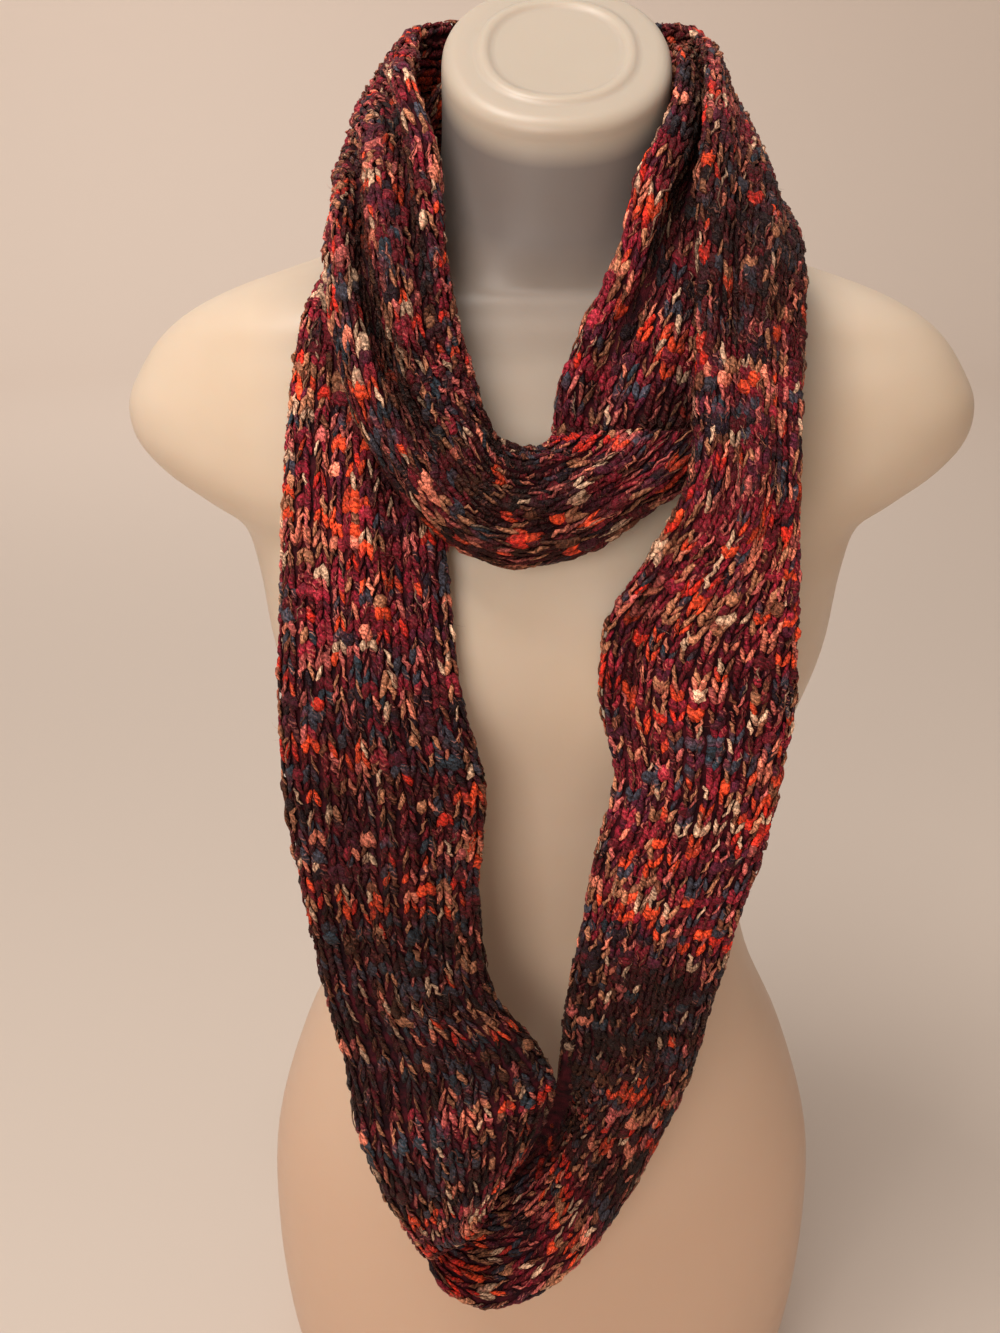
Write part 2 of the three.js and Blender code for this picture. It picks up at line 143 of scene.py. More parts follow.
STRETCHES = (
    Stretch("left_leg", Chain.LOWER, 2, "knit_legs", "hung", ("form_body",), (
        (0, 0.42, 0.36), (0.085, 0.46, 0.36), (0.11, 0.86, 0.06), (0.135, 0.82, 0.08),
        (0.16, 0.38, 0.5), (0.18, 0.42, 0.46), (0.2, 0.88, 0.05), (0.24, 0.86, 0.07),
        (0.27, 0.7, 0.18), (0.35, 0.66, 0.22), (0.42, 0.58, 0.28), (0.48, 0.6, 0.13), (0.56, 0.46, 0.16),
        (0.62, 0.3, 0.34), (0.7, 0.28, 0.3), (0.8, 0.18, 0.4), (0.9, 0.18, 0.44), (1, 0.4, 0.3),
    ), (
        (-65, -122, 216, -36, -114, 258, 0, 13, 0, 0),
        (-69, -138, 216, -30, -142, 266, 3, 14, 1, 0),
        (-77, -141, 234, -14, -149, 292, 6, 15, 2, 0),
        (-90, -140, 259, -2, -150, 322, 8, 15, 2, 0),
        (-103, -137, 300, 1, -149, 344, 8, 15, 2, 0),
        (-109, -136, 348, -10, -143, 364, 6, 14, 2, 0),
        (-117, -134, 388, -31, -136, 390, 4, 14, 2, 0),
        (-125, -134, 443, -37, -134, 446, 4, 14, 2, 0),
        (-132, -131, 499, -34, -133, 503, 5, 14, 2, 0),
        (-133, -124, 550, -44, -131, 546, 6, 14, 2, 0),
        (-131, -112, 594, -50, -119, 590, 6, 14, 2, 0),
        (-129, -97, 641, -52, -106, 638, 5, 14, 2, 0),
        (-126, -78, 683, -48, -88, 681, 3, 12, 1, 0),
        (-120, -60, 719, -48, -72, 717, 2, 10, 1, 0),
        (-113, -35, 734, -58, -46, 742, 1, 10, 0, 0),
        (-106, -4, 738, -72, -12, 763, 1, 10, 0, 0),
    ), creases=(
        Crease(-30, 120, (0.95, 0.88, 0.92), 7, 0.16),
        Crease(150, 420, (-0.35, -0.2, -0.4), 3, 0.2),
        Crease(330, 560, (0.45, 0.35, 0.3), 3, 0.18),
    )),
    Stretch("inner_back", Chain.LOWER, 2, "knit_neck", "draped", ("form_body",), (
        (0, 0.45, 0.2), (1, 0.4, 0.2),
    ), (
        (-98, 29, 747, -70, 18, 793, 2, 9, 1, 0),
        (-78, 56, 746, -56, 40, 821, 2, 9, 1, 0),
        (-45, 77, 744, -33, 59, 830, 2, 10, 1, 0),
        (0, 84, 743, 0, 66, 834, 2, 10, 1, 0),
        (45, 76, 745, 33, 58, 836, 2, 10, 1, 0),
        (74, 56, 749, 54, 39, 838, 2, 9, 1, 0),
        (87, 30, 752, 60, 16, 838, 1, 9, 1, 0),
    )),
    Stretch("neck_right", Chain.LOWER, 3, "knit_neck", "draped", ("form_body",), (
        (0, 0.35, 0.2), (0.6, 0.22, 0.2), (1, 0.25, 0.24),
    ), (
        (93, 0, 750, 59, -14, 833, 1, 9, 0, 0),
        (96, -32, 744, 52, -46, 812, 1, 10, 1, 0),
        (100, -60, 728, 36, -66, 784, 2, 12, 2, 0),
        (96, -76, 708, 27, -72, 750, 2, 12, 2, 0),
        (90, -88, 688, 11, -82, 717, 2, 12, 2, 0),
        (84, -94, 670, 0, -90, 690, 1, 12, 1, 0),
        (76, -100, 654, -3, -96, 668, 0, 12, 0, 0),
    ), creases=(Crease(10, 190, (0.4, 0.46, 0.58, 0.7), 9, 0.17),)),
    Stretch("neck_front", Chain.UPPER, 3, "knit_neck", "draped", ("form_body", "neck_right"), (
        (0, 0.35, 0.28), (0.3, 0.6, 0.16), (0.45, 0.72, 0.12), (0.62, 0.62, 0.16), (0.8, 0.54, 0.26),
        (1, 0.48, 0.3),
    ), (
        (84, -112, 676, -3, -104, 671, 2, 13, 1, 13),
        (64, -117, 655, -7, -108, 668, 5, 16, 2, 13),
        (47, -119, 644, -11, -109, 667, 7, 18, 3, 13),
        (28, -122, 631, -15, -109, 667, 8, 18, 3, 10),
        (5, -122, 619, -20, -108, 668, 8, 19, 3, 4),
        (-20, -122, 615, -26, -106, 670, 8, 20, 3, 4),
        (-45, -121, 623, -32, -104, 676, 8, 21, 3, 8),
        (-66, -119, 641, -37, -101, 690, 7, 20, 3, 14),
        (-85, -113, 668, -42, -95, 706, 6, 20, 3, 16),
    ), creases=(
        Crease(66, 330, (0.1, -0.16, -0.34, -0.36, -0.34), 11, 0.18),
        Crease(120, 330, (0.6, 0.54, 0.5, 0.46), 9, 0.15),
    )),
    Stretch("neck_left", Chain.UPPER, 3, "knit_neck", "draped", ("form_body", "left_leg"), (
        (0, 0.48, 0.3), (0.35, 0.38, 0.34), (0.7, 0.26, 0.26), (1, 0.22, 0.2),
    ), (
        (-98, -104, 698, -47, -89, 722, 6, 20, 3, 15),
        (-105, -91, 729, -51, -79, 743, 6, 20, 3, 15),
        (-107, -66, 753, -54, -67, 768, 6, 20, 3, 15),
        (-105, -36, 766, -56, -50, 796, 5, 18, 1.5, 15),
        (-107, -2, 769, -62, -20, 825, 5, 16, 0, 14),
    )),
    Stretch("outer_back", Chain.UPPER, 2, "knit_neck", "draped", ("inner_back",), (
        (0, 0.4, 0.2), (1, 0.45, 0.2),
    ), (
        (-108, 38, 766, -70, 22, 840, 5, 14, 0, 12),
        (-94, 74, 760, -66, 56, 848, 3, 12, 2, 12),
        (-54, 100, 755, -41, 83, 850, 4, 13, 2, 13),
        (0, 108, 752, 0, 90, 850, 4, 13, 2, 13),
        (54, 100, 755, 41, 83, 850, 4, 13, 2, 13),
        (94, 75, 758, 66, 56, 848, 3, 12, 2, 12),
        (107, 41, 760, 72, 24, 842, 1, 12, 2, 12),
    ), creases=(
        Crease(20, 190, (-0.3, -0.2, -0.35), 3.5, 0.13),
        Crease(120, 280, (0.35, 0.4, 0.3), 3, 0.13),
    )),
    Stretch("right_leg", Chain.UPPER, 2, "knit_legs", "hung", ("form_body", "neck_right"), (
        (0, 0.55, 0.16), (0.06, 0.35, 0.4), (0.12, 0.6, 0.2), (0.22, 0.66, 0.16), (0.28, 0.45, 0.26),
        (0.38, 0.4, 0.22), (0.44, 0.22, 0.36), (0.5, 0.28, 0.3), (0.62, 0.3, 0.28), (0.7, 0.32, 0.26),
        (0.77, 0.36, 0.36), (0.81, 0.5, 0.24), (0.84, 0.78, 0.08), (0.92, 0.86, 0.06), (1, 0.82, 0.08),
    ), (
        (110, 2, 758, 72, -12, 835, -1, 12, 1, 13),
        (111, -37, 756, 67, -58, 814, 0, 13, 2, 14),
        (111, -69, 746, 62, -81, 786, 3, 16, 2, 14),
        (109, -97, 723, 61, -101, 746, 4, 18, 2, 14),
        (107, -114, 690, 60, -119, 700, 4, 18, 2, 18),
        (107, -127, 652, 57, -135, 660, 4, 18, 2, 26),
        (109, -132, 616, 42, -126, 622, 6, 16, 2, 12),
        (111, -134, 580, 24, -114, 584, 9, 14, 2, 0),
        (112, -134, 546, 22, -116, 542, 9, 14, 2, 0),
        (108, -134, 508, 29, -126, 508, 6, 14, 2, 0),
        (102, -134, 468, 21, -132, 470, 4, 14, 2, 0),
        (92, -134, 428, 15, -134, 430, 4, 14, 2, 0),
        (83, -134, 384, 8, -134, 386, 4, 14, 2, 0),
        (74, -134, 338, 5, -132, 344, 4, 14, 2, 0),
    ), twist=-2.8, creases=(
        Crease(205, 340, (0.95, 0.72, 0.62, 0.9), 7, 0.14),
        Crease(30, 210, (0.3, 0.42, 0.2), 4, 0.18),
    )),
    Stretch("loop_bottom", Chain.UPPER, 2, "knit_legs", "hung", ("right_leg",), (
        (0, 0.82, 0.08), (0.18, 0.74, 0.14), (0.36, 0.5, 0.3), (0.55, 0.42, 0.34), (1, 0.5, 0.34),
    ), (
        (60, -135, 296, 4, -126, 322, 2, 14, 2, 0),
        (40, -138, 250, 1, -118, 312, -4, 14, 2, 0),
        (16, -140, 210, -5, -110, 294, -9, 14, 2, 0),
        (-12, -141, 184, -14, -104, 276, -12, 14, 2, 0),
        (-38, -141, 178, -26, -100, 260, -12, 13, 1, 0),
        (-61, -136, 190, -38, -97, 248, -8, 12, 1, 0),
        (-72, -120, 210, -48, -96, 244, -4, 11, 0, 0),
    ), creases=(Crease(-60, 150, (0.9, 0.8, 0.66, 0.6, 0.7), 10, 0.36),)),
)


def signed_power(value: np.ndarray, power: float) -> np.ndarray:
    """Raises the size of a number to a power and keeps its sign."""
    return np.sign(value) * np.abs(value) ** power


def smooth_rows(rows: np.ndarray, steps: int) -> np.ndarray:
    """Draws smooth curves through the rows of a table.

    Args:
        rows: One row for each station, one column for each size.
        steps: Stations from one row to the next.

    Returns:
        The table with its in-between stations.
    """
    padded = np.vstack([rows[:1], rows, rows[-1:]])
    a, b, c, d = padded[:-3], padded[1:-2], padded[2:-1], padded[3:]
    slope_b, slope_c = (c - a) / 2, (d - b) / 2
    bend = 3 * (c - b) - 2 * slope_b - slope_c
    ease = 2 * (b - c) + slope_b + slope_c
    shares = np.arange(steps) / steps
    between = [b + t * (slope_b + t * (bend + t * ease)) for t in shares]
    return np.vstack([np.stack(between, axis=1).reshape(-1, rows.shape[1]), rows[-1:]])


def linear(red: int, green: int, blue: int) -> Quad:
    """Turns a display colour of 0 to 255 into the linear one that shaders take."""
    shares = [channel / 255 for channel in (red, green, blue)]
    return tuple(s / 12.92 if s < 0.04045 else ((s + 0.055) / 1.055) ** 2.4 for s in shares) + (1.0,)


def placed(name: str, data: bpy.types.ID) -> bpy.types.Object:
    """Makes an object and links it to the scene.

    Args:
        name: The new object's name.
        data: Its mesh, light or camera.

    Returns:
        The object.
    """
    made = bpy.data.objects.new(name, data)
    bpy.context.scene.collection.objects.link(made)
    return made


def smooth_object(name: str, shape: bmesh.types.BMesh) -> bpy.types.Object:
    """Makes a smoothly shaded object of a bmesh, which is then freed.

    Args:
        name: The new object's name.
        shape: Its mesh.

    Returns:
        The object.
    """
    mesh = bpy.data.meshes.new(name)
    shape.to_mesh(mesh)
    shape.free()
    mesh.shade_smooth()
    return placed(name, mesh)


def wrapped_sheet(name: str, rings: np.ndarray) -> bpy.types.Object:
    """Makes a tube-like mesh from one grid, closed all round.

    Args:
        name: The new object's name.
        rings: Places of shape (rings, points round, 3), in metres.

    Returns:
        The object, with its faces outwards. Rings of no size close to a pole.
    """
    count, around = rings.shape[:2]
    shape = bmesh.new()
    bmesh.ops.create_grid(shape, x_segments=around, y_segments=count - 1, size=1)
    for vertex in shape.verts:
        column = round((vertex.co.x + 1) / 2 * around) % around
        ring = round((vertex.co.y + 1) / 2 * (count - 1))
        vertex.co = rings[ring, column]
    bmesh.ops.remove_doubles(shape, verts=shape.verts, dist=SAME_PLACE)
    bmesh.ops.recalc_face_normals(shape, faces=shape.faces)
    middle = Vector(rings.reshape(-1, 3).mean(axis=0))
    outward = sum((face.calc_center_median() - middle).dot(face.normal) * face.calc_area()
                  for face in shape.faces)
    if outward < 0:
        bmesh.ops.reverse_faces(shape, faces=shape.faces)
    return smooth_object(name, shape)


@dataclass(frozen=True)
class Template:
    """A small closed shape that a joined mesh repeats: its points and its triangles."""

    points: np.ndarray
    faces: np.ndarray

    @classmethod
    def of(cls, shape: bmesh.types.BMesh) -> "Template":
        """Reads a template from a bmesh, which is then freed.

        Args:
            shape: The closed shape.

        Returns:
            Its points and triangles.
        """
        bmesh.ops.triangulate(shape, faces=shape.faces)
        shape.verts.index_update()
        points = np.array([vertex.co[:] for vertex in shape.verts])
        faces = np.array([[vertex.index for vertex in face.verts] for face in shape.faces])
        shape.free()
        return cls(points, faces)

    @classmethod
    def spindle(cls, sides: int, bands: int) -> "Template":
        """A ball of a few faces that is drawn out into a leg of yarn.

        Args:
            sides: Faces round it.
            bands: Faces along it.

        Returns:
            The ball, of radius 1.
        """
        shape = bmesh.new()
        bmesh.ops.create_uvsphere(shape, u_segments=sides, v_segments=bands, radius=1)
        return cls.of(shape)

    @classmethod
    def hair(cls, sides: int, bands: int, tip: float = 0.25) -> "Template":
        """A cone with a blunt tip, cut into bands so that it can curl.

        Args:
            sides: Faces round it.
            bands: Faces along it.
            tip: Its tip's radius, where its root's is 1.

        Returns:
            The cone, 2 long.
        """
        shape = bmesh.new()
        bmesh.ops.create_cone(shape, cap_ends=True, segments=sides, radius1=1, radius2=tip, depth=2)
        for cut in range(1, bands):
            everything = shape.verts[:] + shape.edges[:] + shape.faces[:]
            bmesh.ops.bisect_plane(
                shape, geom=everything, plane_co=(0, 0, 2 * cut / bands - 1), plane_no=(0, 0, 1))
        return cls.of(shape)


@dataclass
class Batch:
    """Bent copies of one template: their places in metres, and what their yarn's finish reads."""

    template: Template
    places: np.ndarray
    colours: np.ndarray
    fibre: np.ndarray


def joined(name: str, batches: list[Batch]) -> bpy.types.Object:
    """Joins every copy of every batch into one mesh.

    Args:
        name: The new object's name.
        batches: The copies. Each array has the shape (copies, points of the template, values).

    Returns:
        The joined object, with the colours and the places in the fibre as attributes.
    """
    corners, start = [], 0
    for batch in batches:
        copies, size = batch.places.shape[:2]
        firsts = size * np.arange(copies)[:, None, None]
        corners.append((start + batch.template.faces[None] + firsts).ravel())
        start += copies * size
    corner_list = np.concatenate(corners).astype(np.int32)

    def merged(part: str) -> np.ndarray:
        """One array of all the batches, flattened for the mesh."""
        return np.concatenate([getattr(batch, part).ravel() for batch in batches]).astype(np.float32)

    mesh = bpy.data.meshes.new(name)
    mesh.vertices.add(start)
    mesh.vertices.foreach_set("co", merged("places"))
    mesh.loops.add(len(corner_list))
    mesh.loops.foreach_set("vertex_index", corner_list)
    mesh.polygons.add(len(corner_list) // 3)
    mesh.polygons.foreach_set("loop_start", np.arange(len(corner_list) // 3, dtype=np.int32) * 3)
    mesh.update(calc_edges=True)
    mesh.color_attributes.new("yarn_colour", "FLOAT_COLOR", "POINT").data.foreach_set(
        "color", merged("colours"))
    mesh.attributes.new("fibre", "FLOAT_VECTOR", "POINT").data.foreach_set("vector", merged("fibre"))
    mesh.shade_smooth()
    return placed(name, mesh)


class NodeKit:
    """Short calls that build one material's nodes."""

    MIX_INPUTS = (0, 6, 7)
    MIX_RESULT = 2

    def __init__(self, name: str) -> None:
        """Starts an empty material with its shader and output."""
        self.material = bpy.data.materials.new(name)
        self.material.use_nodes = True
        self.tree = self.material.node_tree
        self.shader = self.tree.nodes["Principled BSDF"]

    def feed(self, socket: Socket, value: object) -> None:
        """Gives an input what it takes.

        Args:
            socket: The input.
            value: Another node's output, which is linked to it, or a fixed value.
        """
        if isinstance(value, Socket):
            self.tree.links.new(value, socket)
        else:
            socket.default_value = value

    def add(self, kind: str, **values: object) -> bpy.types.Node:
        """Adds a node.

        Args:
            kind: The node's type name, without the common prefix.
            values: Properties of the node, or inputs by name with underscores for spaces.

        Returns:
            The new node.
        """
        node = self.tree.nodes.new("ShaderNode" + kind)
        for key, value in values.items():
            if hasattr(node, key):
                setattr(node, key, value)
            else:
                self.feed(node.inputs[key.replace("_", " ")], value)
        return node

    def dress(self, **values: object) -> bpy.types.Material:
        """Feeds the shader.

        Args:
            values: Its inputs by name, with underscores for spaces.

        Returns:
            The finished material.
        """
        for key, value in values.items():
            self.feed(self.shader.inputs[key.replace("_", " ")], value)
        return self.material

    def noise(self, vector: Socket, scale: float, detail: float) -> Socket:
        """A noise pattern in the given coordinates, of a scale and a number of finer octaves."""
        return self.add("TexNoise", Vector=vector, Scale=scale, Detail=detail).outputs["Fac"]

    def remap(self, source: Socket, low: float, high: float, start: float, end: float) -> Socket:
        """Maps a value's range from low to high onto one from start to end, clamped."""
        return self.add(
            "MapRange", Value=source, From_Min=low, From_Max=high, To_Min=start, To_Max=end).outputs["Result"]

    def mix(self, share: object, first: object, second: object, blend: str = "MIX") -> Socket:
        """Mixes two colours. Each argument is a socket or a fixed value.

        Args:
            share: How much of the second colour comes in.
            first: The first colour.
            second: The second colour.
            blend: The way they mix.

        Returns:
            The mixed colour.
        """
        node = self.add("Mix", data_type="RGBA", blend_type=blend)
        for number, value in zip(self.MIX_INPUTS, (share, first, second)):
            self.feed(node.inputs[number], value)
        return node.outputs[self.MIX_RESULT]

    def math(self, operation: str, *values: object) -> Socket:
        """One sum on sockets or fixed numbers.

        Args:
            operation: The sum's type name.
            values: Its inputs, in order.

        Returns:
            The result.
        """
        node = self.add("Math", operation=operation)
        for socket, value in zip(node.inputs, values):
            self.feed(socket, value)
        return node.outputs[0]

    def bump(self, height: Socket, strength: float, distance: float) -> None:
        """Raises the surface by a pattern, after any bump that is there already.

        Args:
            height: The pattern.
            strength: How much of it shows.
            distance: How far it raises the surface, in metres.
        """
        node = self.add("Bump", Height=height, Strength=strength, Distance=distance)
        normal = self.shader.inputs["Normal"]
        if normal.is_linked:
            self.feed(node.inputs["Normal"], normal.links[0].from_socket)
        self.feed(normal, node.outputs["Normal"])


@dataclass(frozen=True)
class YarnFinish:
    """Irregular slub yarn: twisted plies with loose fibres, satin on their crowns.

    A noise is a scale and its octaves, a bump a strength and a height in metres. A ramp is where
    a pattern's range starts and ends, and what it becomes there.
    """

    name: str = "slub_yarn"
    thread: Colour = (232, 142, 116)
    gloss_tint: Colour = (255, 214, 196)
    gloss: float = 0.3
    sheen: float = 0.05
    sheen_roughness: float = 0.4
    ply_pitch: float = 2.8
    ply_wander: float = 14.0
    fibre_stretch: Triple = (1.3, 1.3, 0.3)
    fibre_noise: Pair = (1.6, 6)
    crinkle_noise: Pair = (620, 2)
    grain_noise: Pair = (1000, 3)
    wander_noise: Pair = (300, 3)
    patch_noise: Pair = (190, 2)
    # painted shade: darker in the grooves between the plies
    groove_shade_ramp: Quad = (0.05, 0.5, 0.5, 1.1)
    streak_ramp: Quad = (0.36, 0.64, 0.7, 1.25)
    knot_ramp: Quad = (0.36, 0.64, 0.6, 1.35)
    # painted shade: darker on the undersides of the strokes
    underside_shade_ramp: Quad = (-0.5, 0.8, 0.3, 1.12)
    crown_ramp: Quad = (0.78, 0.95, 0.0, 1.0)
    patch_ramp: Quad = (0.48, 0.6, 0.0, 0.6)
    rough_ramp: Quad = (0.35, 0.65, 0.62, 0.34)
    ply_bump: Pair = (0.8, 0.0009)
    crinkle_bump: Pair = (0.9, 0.0014)
    fibre_bump: Pair = (0.6, 0.0012)
    grain_bump: Pair = (0.35, 0.0006)

    def material(self) -> bpy.types.Material:
        """Builds the yarn's material, which reads each strand's colour and fibre place.

        Returns:
            The material.
        """
        kit = NodeKit(self.name)
        yarn = kit.add("Attribute", attribute_name="yarn_colour").outputs
        strand = kit.add("Attribute", attribute_name="fibre").outputs["Vector"]
        place = kit.add("TexCoord").outputs["Object"]
        drawn = kit.add("Mapping", Vector=strand, Scale=self.fibre_stretch).outputs["Vector"]
        fibre = kit.noise(drawn, *self.fibre_noise)
        crinkle = kit.noise(place, *self.crinkle_noise)
        grain = kit.noise(place, *self.grain_noise)
        sides = kit.add("SeparateXYZ", Vector=strand).outputs
        ply = self.plies(kit, sides, kit.noise(place, *self.wander_noise))
        # painted shade in the ply grooves and on the strokes' undersides, times the yarn's random streaks and
        # crinkles
        groove = kit.remap(ply, *self.groove_shade_ramp)
        streak = kit.remap(fibre, *self.streak_ramp)
        knot = kit.remap(crinkle, *self.knot_ramp)
        under = kit.remap(sides["Y"], *self.underside_shade_ramp)
        dark = kit.math(
            "MULTIPLY", kit.math("MULTIPLY", groove, streak), kit.math("MULTIPLY", knot, under))
        shade = kit.add("CombineColor", Red=dark, Green=dark, Blue=dark).outputs[0]
        thread = kit.math("MULTIPLY", kit.remap(ply, *self.crown_ramp), yarn["Alpha"])
        patchy = kit.remap(kit.noise(place, *self.patch_noise), *self.patch_ramp)
        marled = kit.mix(kit.math("MULTIPLY", thread, patchy), yarn["Color"], linear(*self.thread))
        for pattern, bump in ((ply, self.ply_bump), (crinkle, self.crinkle_bump),
                              (fibre, self.fibre_bump), (grain, self.grain_bump)):
            kit.bump(pattern, *bump)
        return kit.dress(
            Base_Color=kit.mix(1.0, marled, shade, "MULTIPLY"),
            Roughness=kit.remap(fibre, *self.rough_ramp),
            Sheen_Weight=self.sheen,
            Sheen_Roughness=self.sheen_roughness,
            Sheen_Tint=linear(*self.thread),
            Specular_IOR_Level=self.gloss,
            Specular_Tint=linear(*self.gloss_tint))

    def plies(self, kit: NodeKit, sides: bpy.types.NodeOutputs, wander: Socket) -> Socket:
        """Two plies that wind round the strand.

        Args:
            kit: The material's nodes.
            sides: The place in the strand, split into its axes, in millimetres.
            wander: A noise that makes their twist uneven.

        Returns:
            0 in their groove to 1 on their crown.
        """
        angle = kit.math("ARCTAN2", sides["Y"], sides["X"])
        wound = kit.math("MULTIPLY", sides["Z"], 2 * math.pi / self.ply_pitch)
        loose = kit.math("MULTIPLY", wander, self.ply_wander)
        turn = kit.math("ADD", kit.math("MULTIPLY", angle, 2.0), kit.math("ADD", wound, loose))
        return kit.math("MULTIPLY_ADD", kit.math("SINE", turn), 0.5, 0.5)


@dataclass(frozen=True)
class ShadedGroundFinish:
    """The ground of the knit that shows between its columns, dark as painted shade in those gaps."""

    name: str = "knit_ground_shade"
    # painted shade: the dark ground stands for the shade between the columns
    dark: Colour = (30, 8, 14)
    light: Colour = (74, 20, 28)
    patch_noise: Pair = (160, 4)
    patch_ramp: Quad = (0.4, 0.65, 0.0, 1.0)
    grain_noise: Pair = (1100, 3)
    grain_bump: Pair = (0.6, 0.001)
    roughness: float = 0.9
    gloss: float = 0.15

    def material(self) -> bpy.types.Material:
        """Builds the ground's material from soft noise in place.

        Returns:
            The material.
        """
        kit = NodeKit(self.name)
        place = kit.add("TexCoord").outputs["Object"]
        patch = kit.remap(kit.noise(place, *self.patch_noise), *self.patch_ramp)
        kit.bump(kit.noise(place, *self.grain_noise), *self.grain_bump)
        return kit.dress(
            Base_Color=kit.mix(patch, linear(*self.dark), linear(*self.light)),
            Roughness=self.roughness,
            Specular_IOR_Level=self.gloss)


@dataclass(frozen=True)
class MilkyPlastic:
    """The dress form's milky, slightly translucent moulded plastic, satin to the light.

    Low down it is warmer and darker, partly its own colour and partly painted shade. The grey at the
    throat is painted shade, and so is the duller neck top under the overhead light. The bands say where
    each change starts and ends, in metres up the leaning neck's axis, and throat_shade_width how far to the
    side the throat's painted shade fades.
    """

    name: str = "milky_plastic"
    colour: Colour = (216, 198, 178)
    deep: Colour = (206, 184, 160)
    # partly the plastic's warmer colour low down, partly painted shade
    low: Colour = (202, 169, 144)
    # painted shade: the grey of the throat
    neck: Colour = (122, 112, 107)
    # painted shade: dulls the neck top under the overhead light
    cap: Colour = (184, 170, 154)
    top_tilt: float = 32
    low_tint_and_shade_band: Pair = (0.2, 0.56)
    throat_shade_band: Pair = (0.57, 0.668)
    cap_shade_band: Pair = (0.698, 0.708)
    throat_shade_width: Pair = (0.08, 0.15)
    cloud_noise: Pair = (9, 3)
    cloud_ramp: Quad = (0.35, 0.7, 0.0, 1.0)
    rough_noise: Pair = (60, 4)
    rough_ramp: Quad = (0.3, 0.7, 0.34, 0.44)
    peel_noise: Pair = (420, 2)
    peel_bump: Pair = (0.05, 0.0004)
    translucency: float = 0.35
    light_depth: float = 0.02
    light_spread: Triple = (1.0, 0.55, 0.35)
    gloss: float = 0.42

    def material(self) -> bpy.types.Material:
        """Builds the plastic with faint clouding and a fine orange-peel surface.

        Returns:
            The material.
        """
        kit = NodeKit(self.name)
        place = kit.add("TexCoord").outputs["Object"]
        cloud = kit.remap(kit.noise(place, *self.cloud_noise), *self.cloud_ramp)
        shell = kit.mix(cloud, linear(*self.colour), linear(*self.deep))
        lean = math.radians(self.top_tilt)
        level = kit.add("VectorMath", operation="DOT_PRODUCT")
        kit.feed(level.inputs[0], place)
        kit.feed(level.inputs[1], (0, -math.sin(lean), math.cos(lean)))
        # painted shade at the throat and on the neck top; the low band is partly warmer colour and partly
        # painted shade
        lifted, hollow, top = (
            kit.remap(level.outputs["Value"], *band, 0.0, 1.0)
            for band in (self.low_tint_and_shade_band, self.throat_shade_band, self.cap_shade_band))
        side = kit.math("ABSOLUTE", kit.add("SeparateXYZ", Vector=place).outputs["X"])
        inward = kit.remap(side, *self.throat_shade_width, 1.0, 0.0)
        shell = kit.mix(lifted, linear(*self.low), shell)
        throat = kit.mix(kit.math("MULTIPLY", hollow, inward), shell, linear(*self.neck))
        kit.bump(kit.noise(place, *self.peel_noise), *self.peel_bump)
        return kit.dress(
            Base_Color=kit.mix(top, throat, linear(*self.cap)),
            Roughness=kit.remap(kit.noise(place, *self.rough_noise), *self.rough_ramp),
            Subsurface_Weight=self.translucency,
            Subsurface_Radius=self.light_spread,
            Subsurface_Scale=self.light_depth,
            Specular_IOR_Level=self.gloss)


@dataclass(frozen=True)
class CoveFinish:
    """The pale matt paint of the studio's floor and cove."""

    name: str = "pale_cove"
    colour: Colour = (216, 202, 190)
    roughness: float = 0.9
    gloss: float = 0.2

    def material(self) -> bpy.types.Material:
        """Builds the plain paint."""
        return NodeKit(self.name).dress(
            Base_Color=linear(*self.colour), Roughness=self.roughness, Specular_IOR_Level=self.gloss)


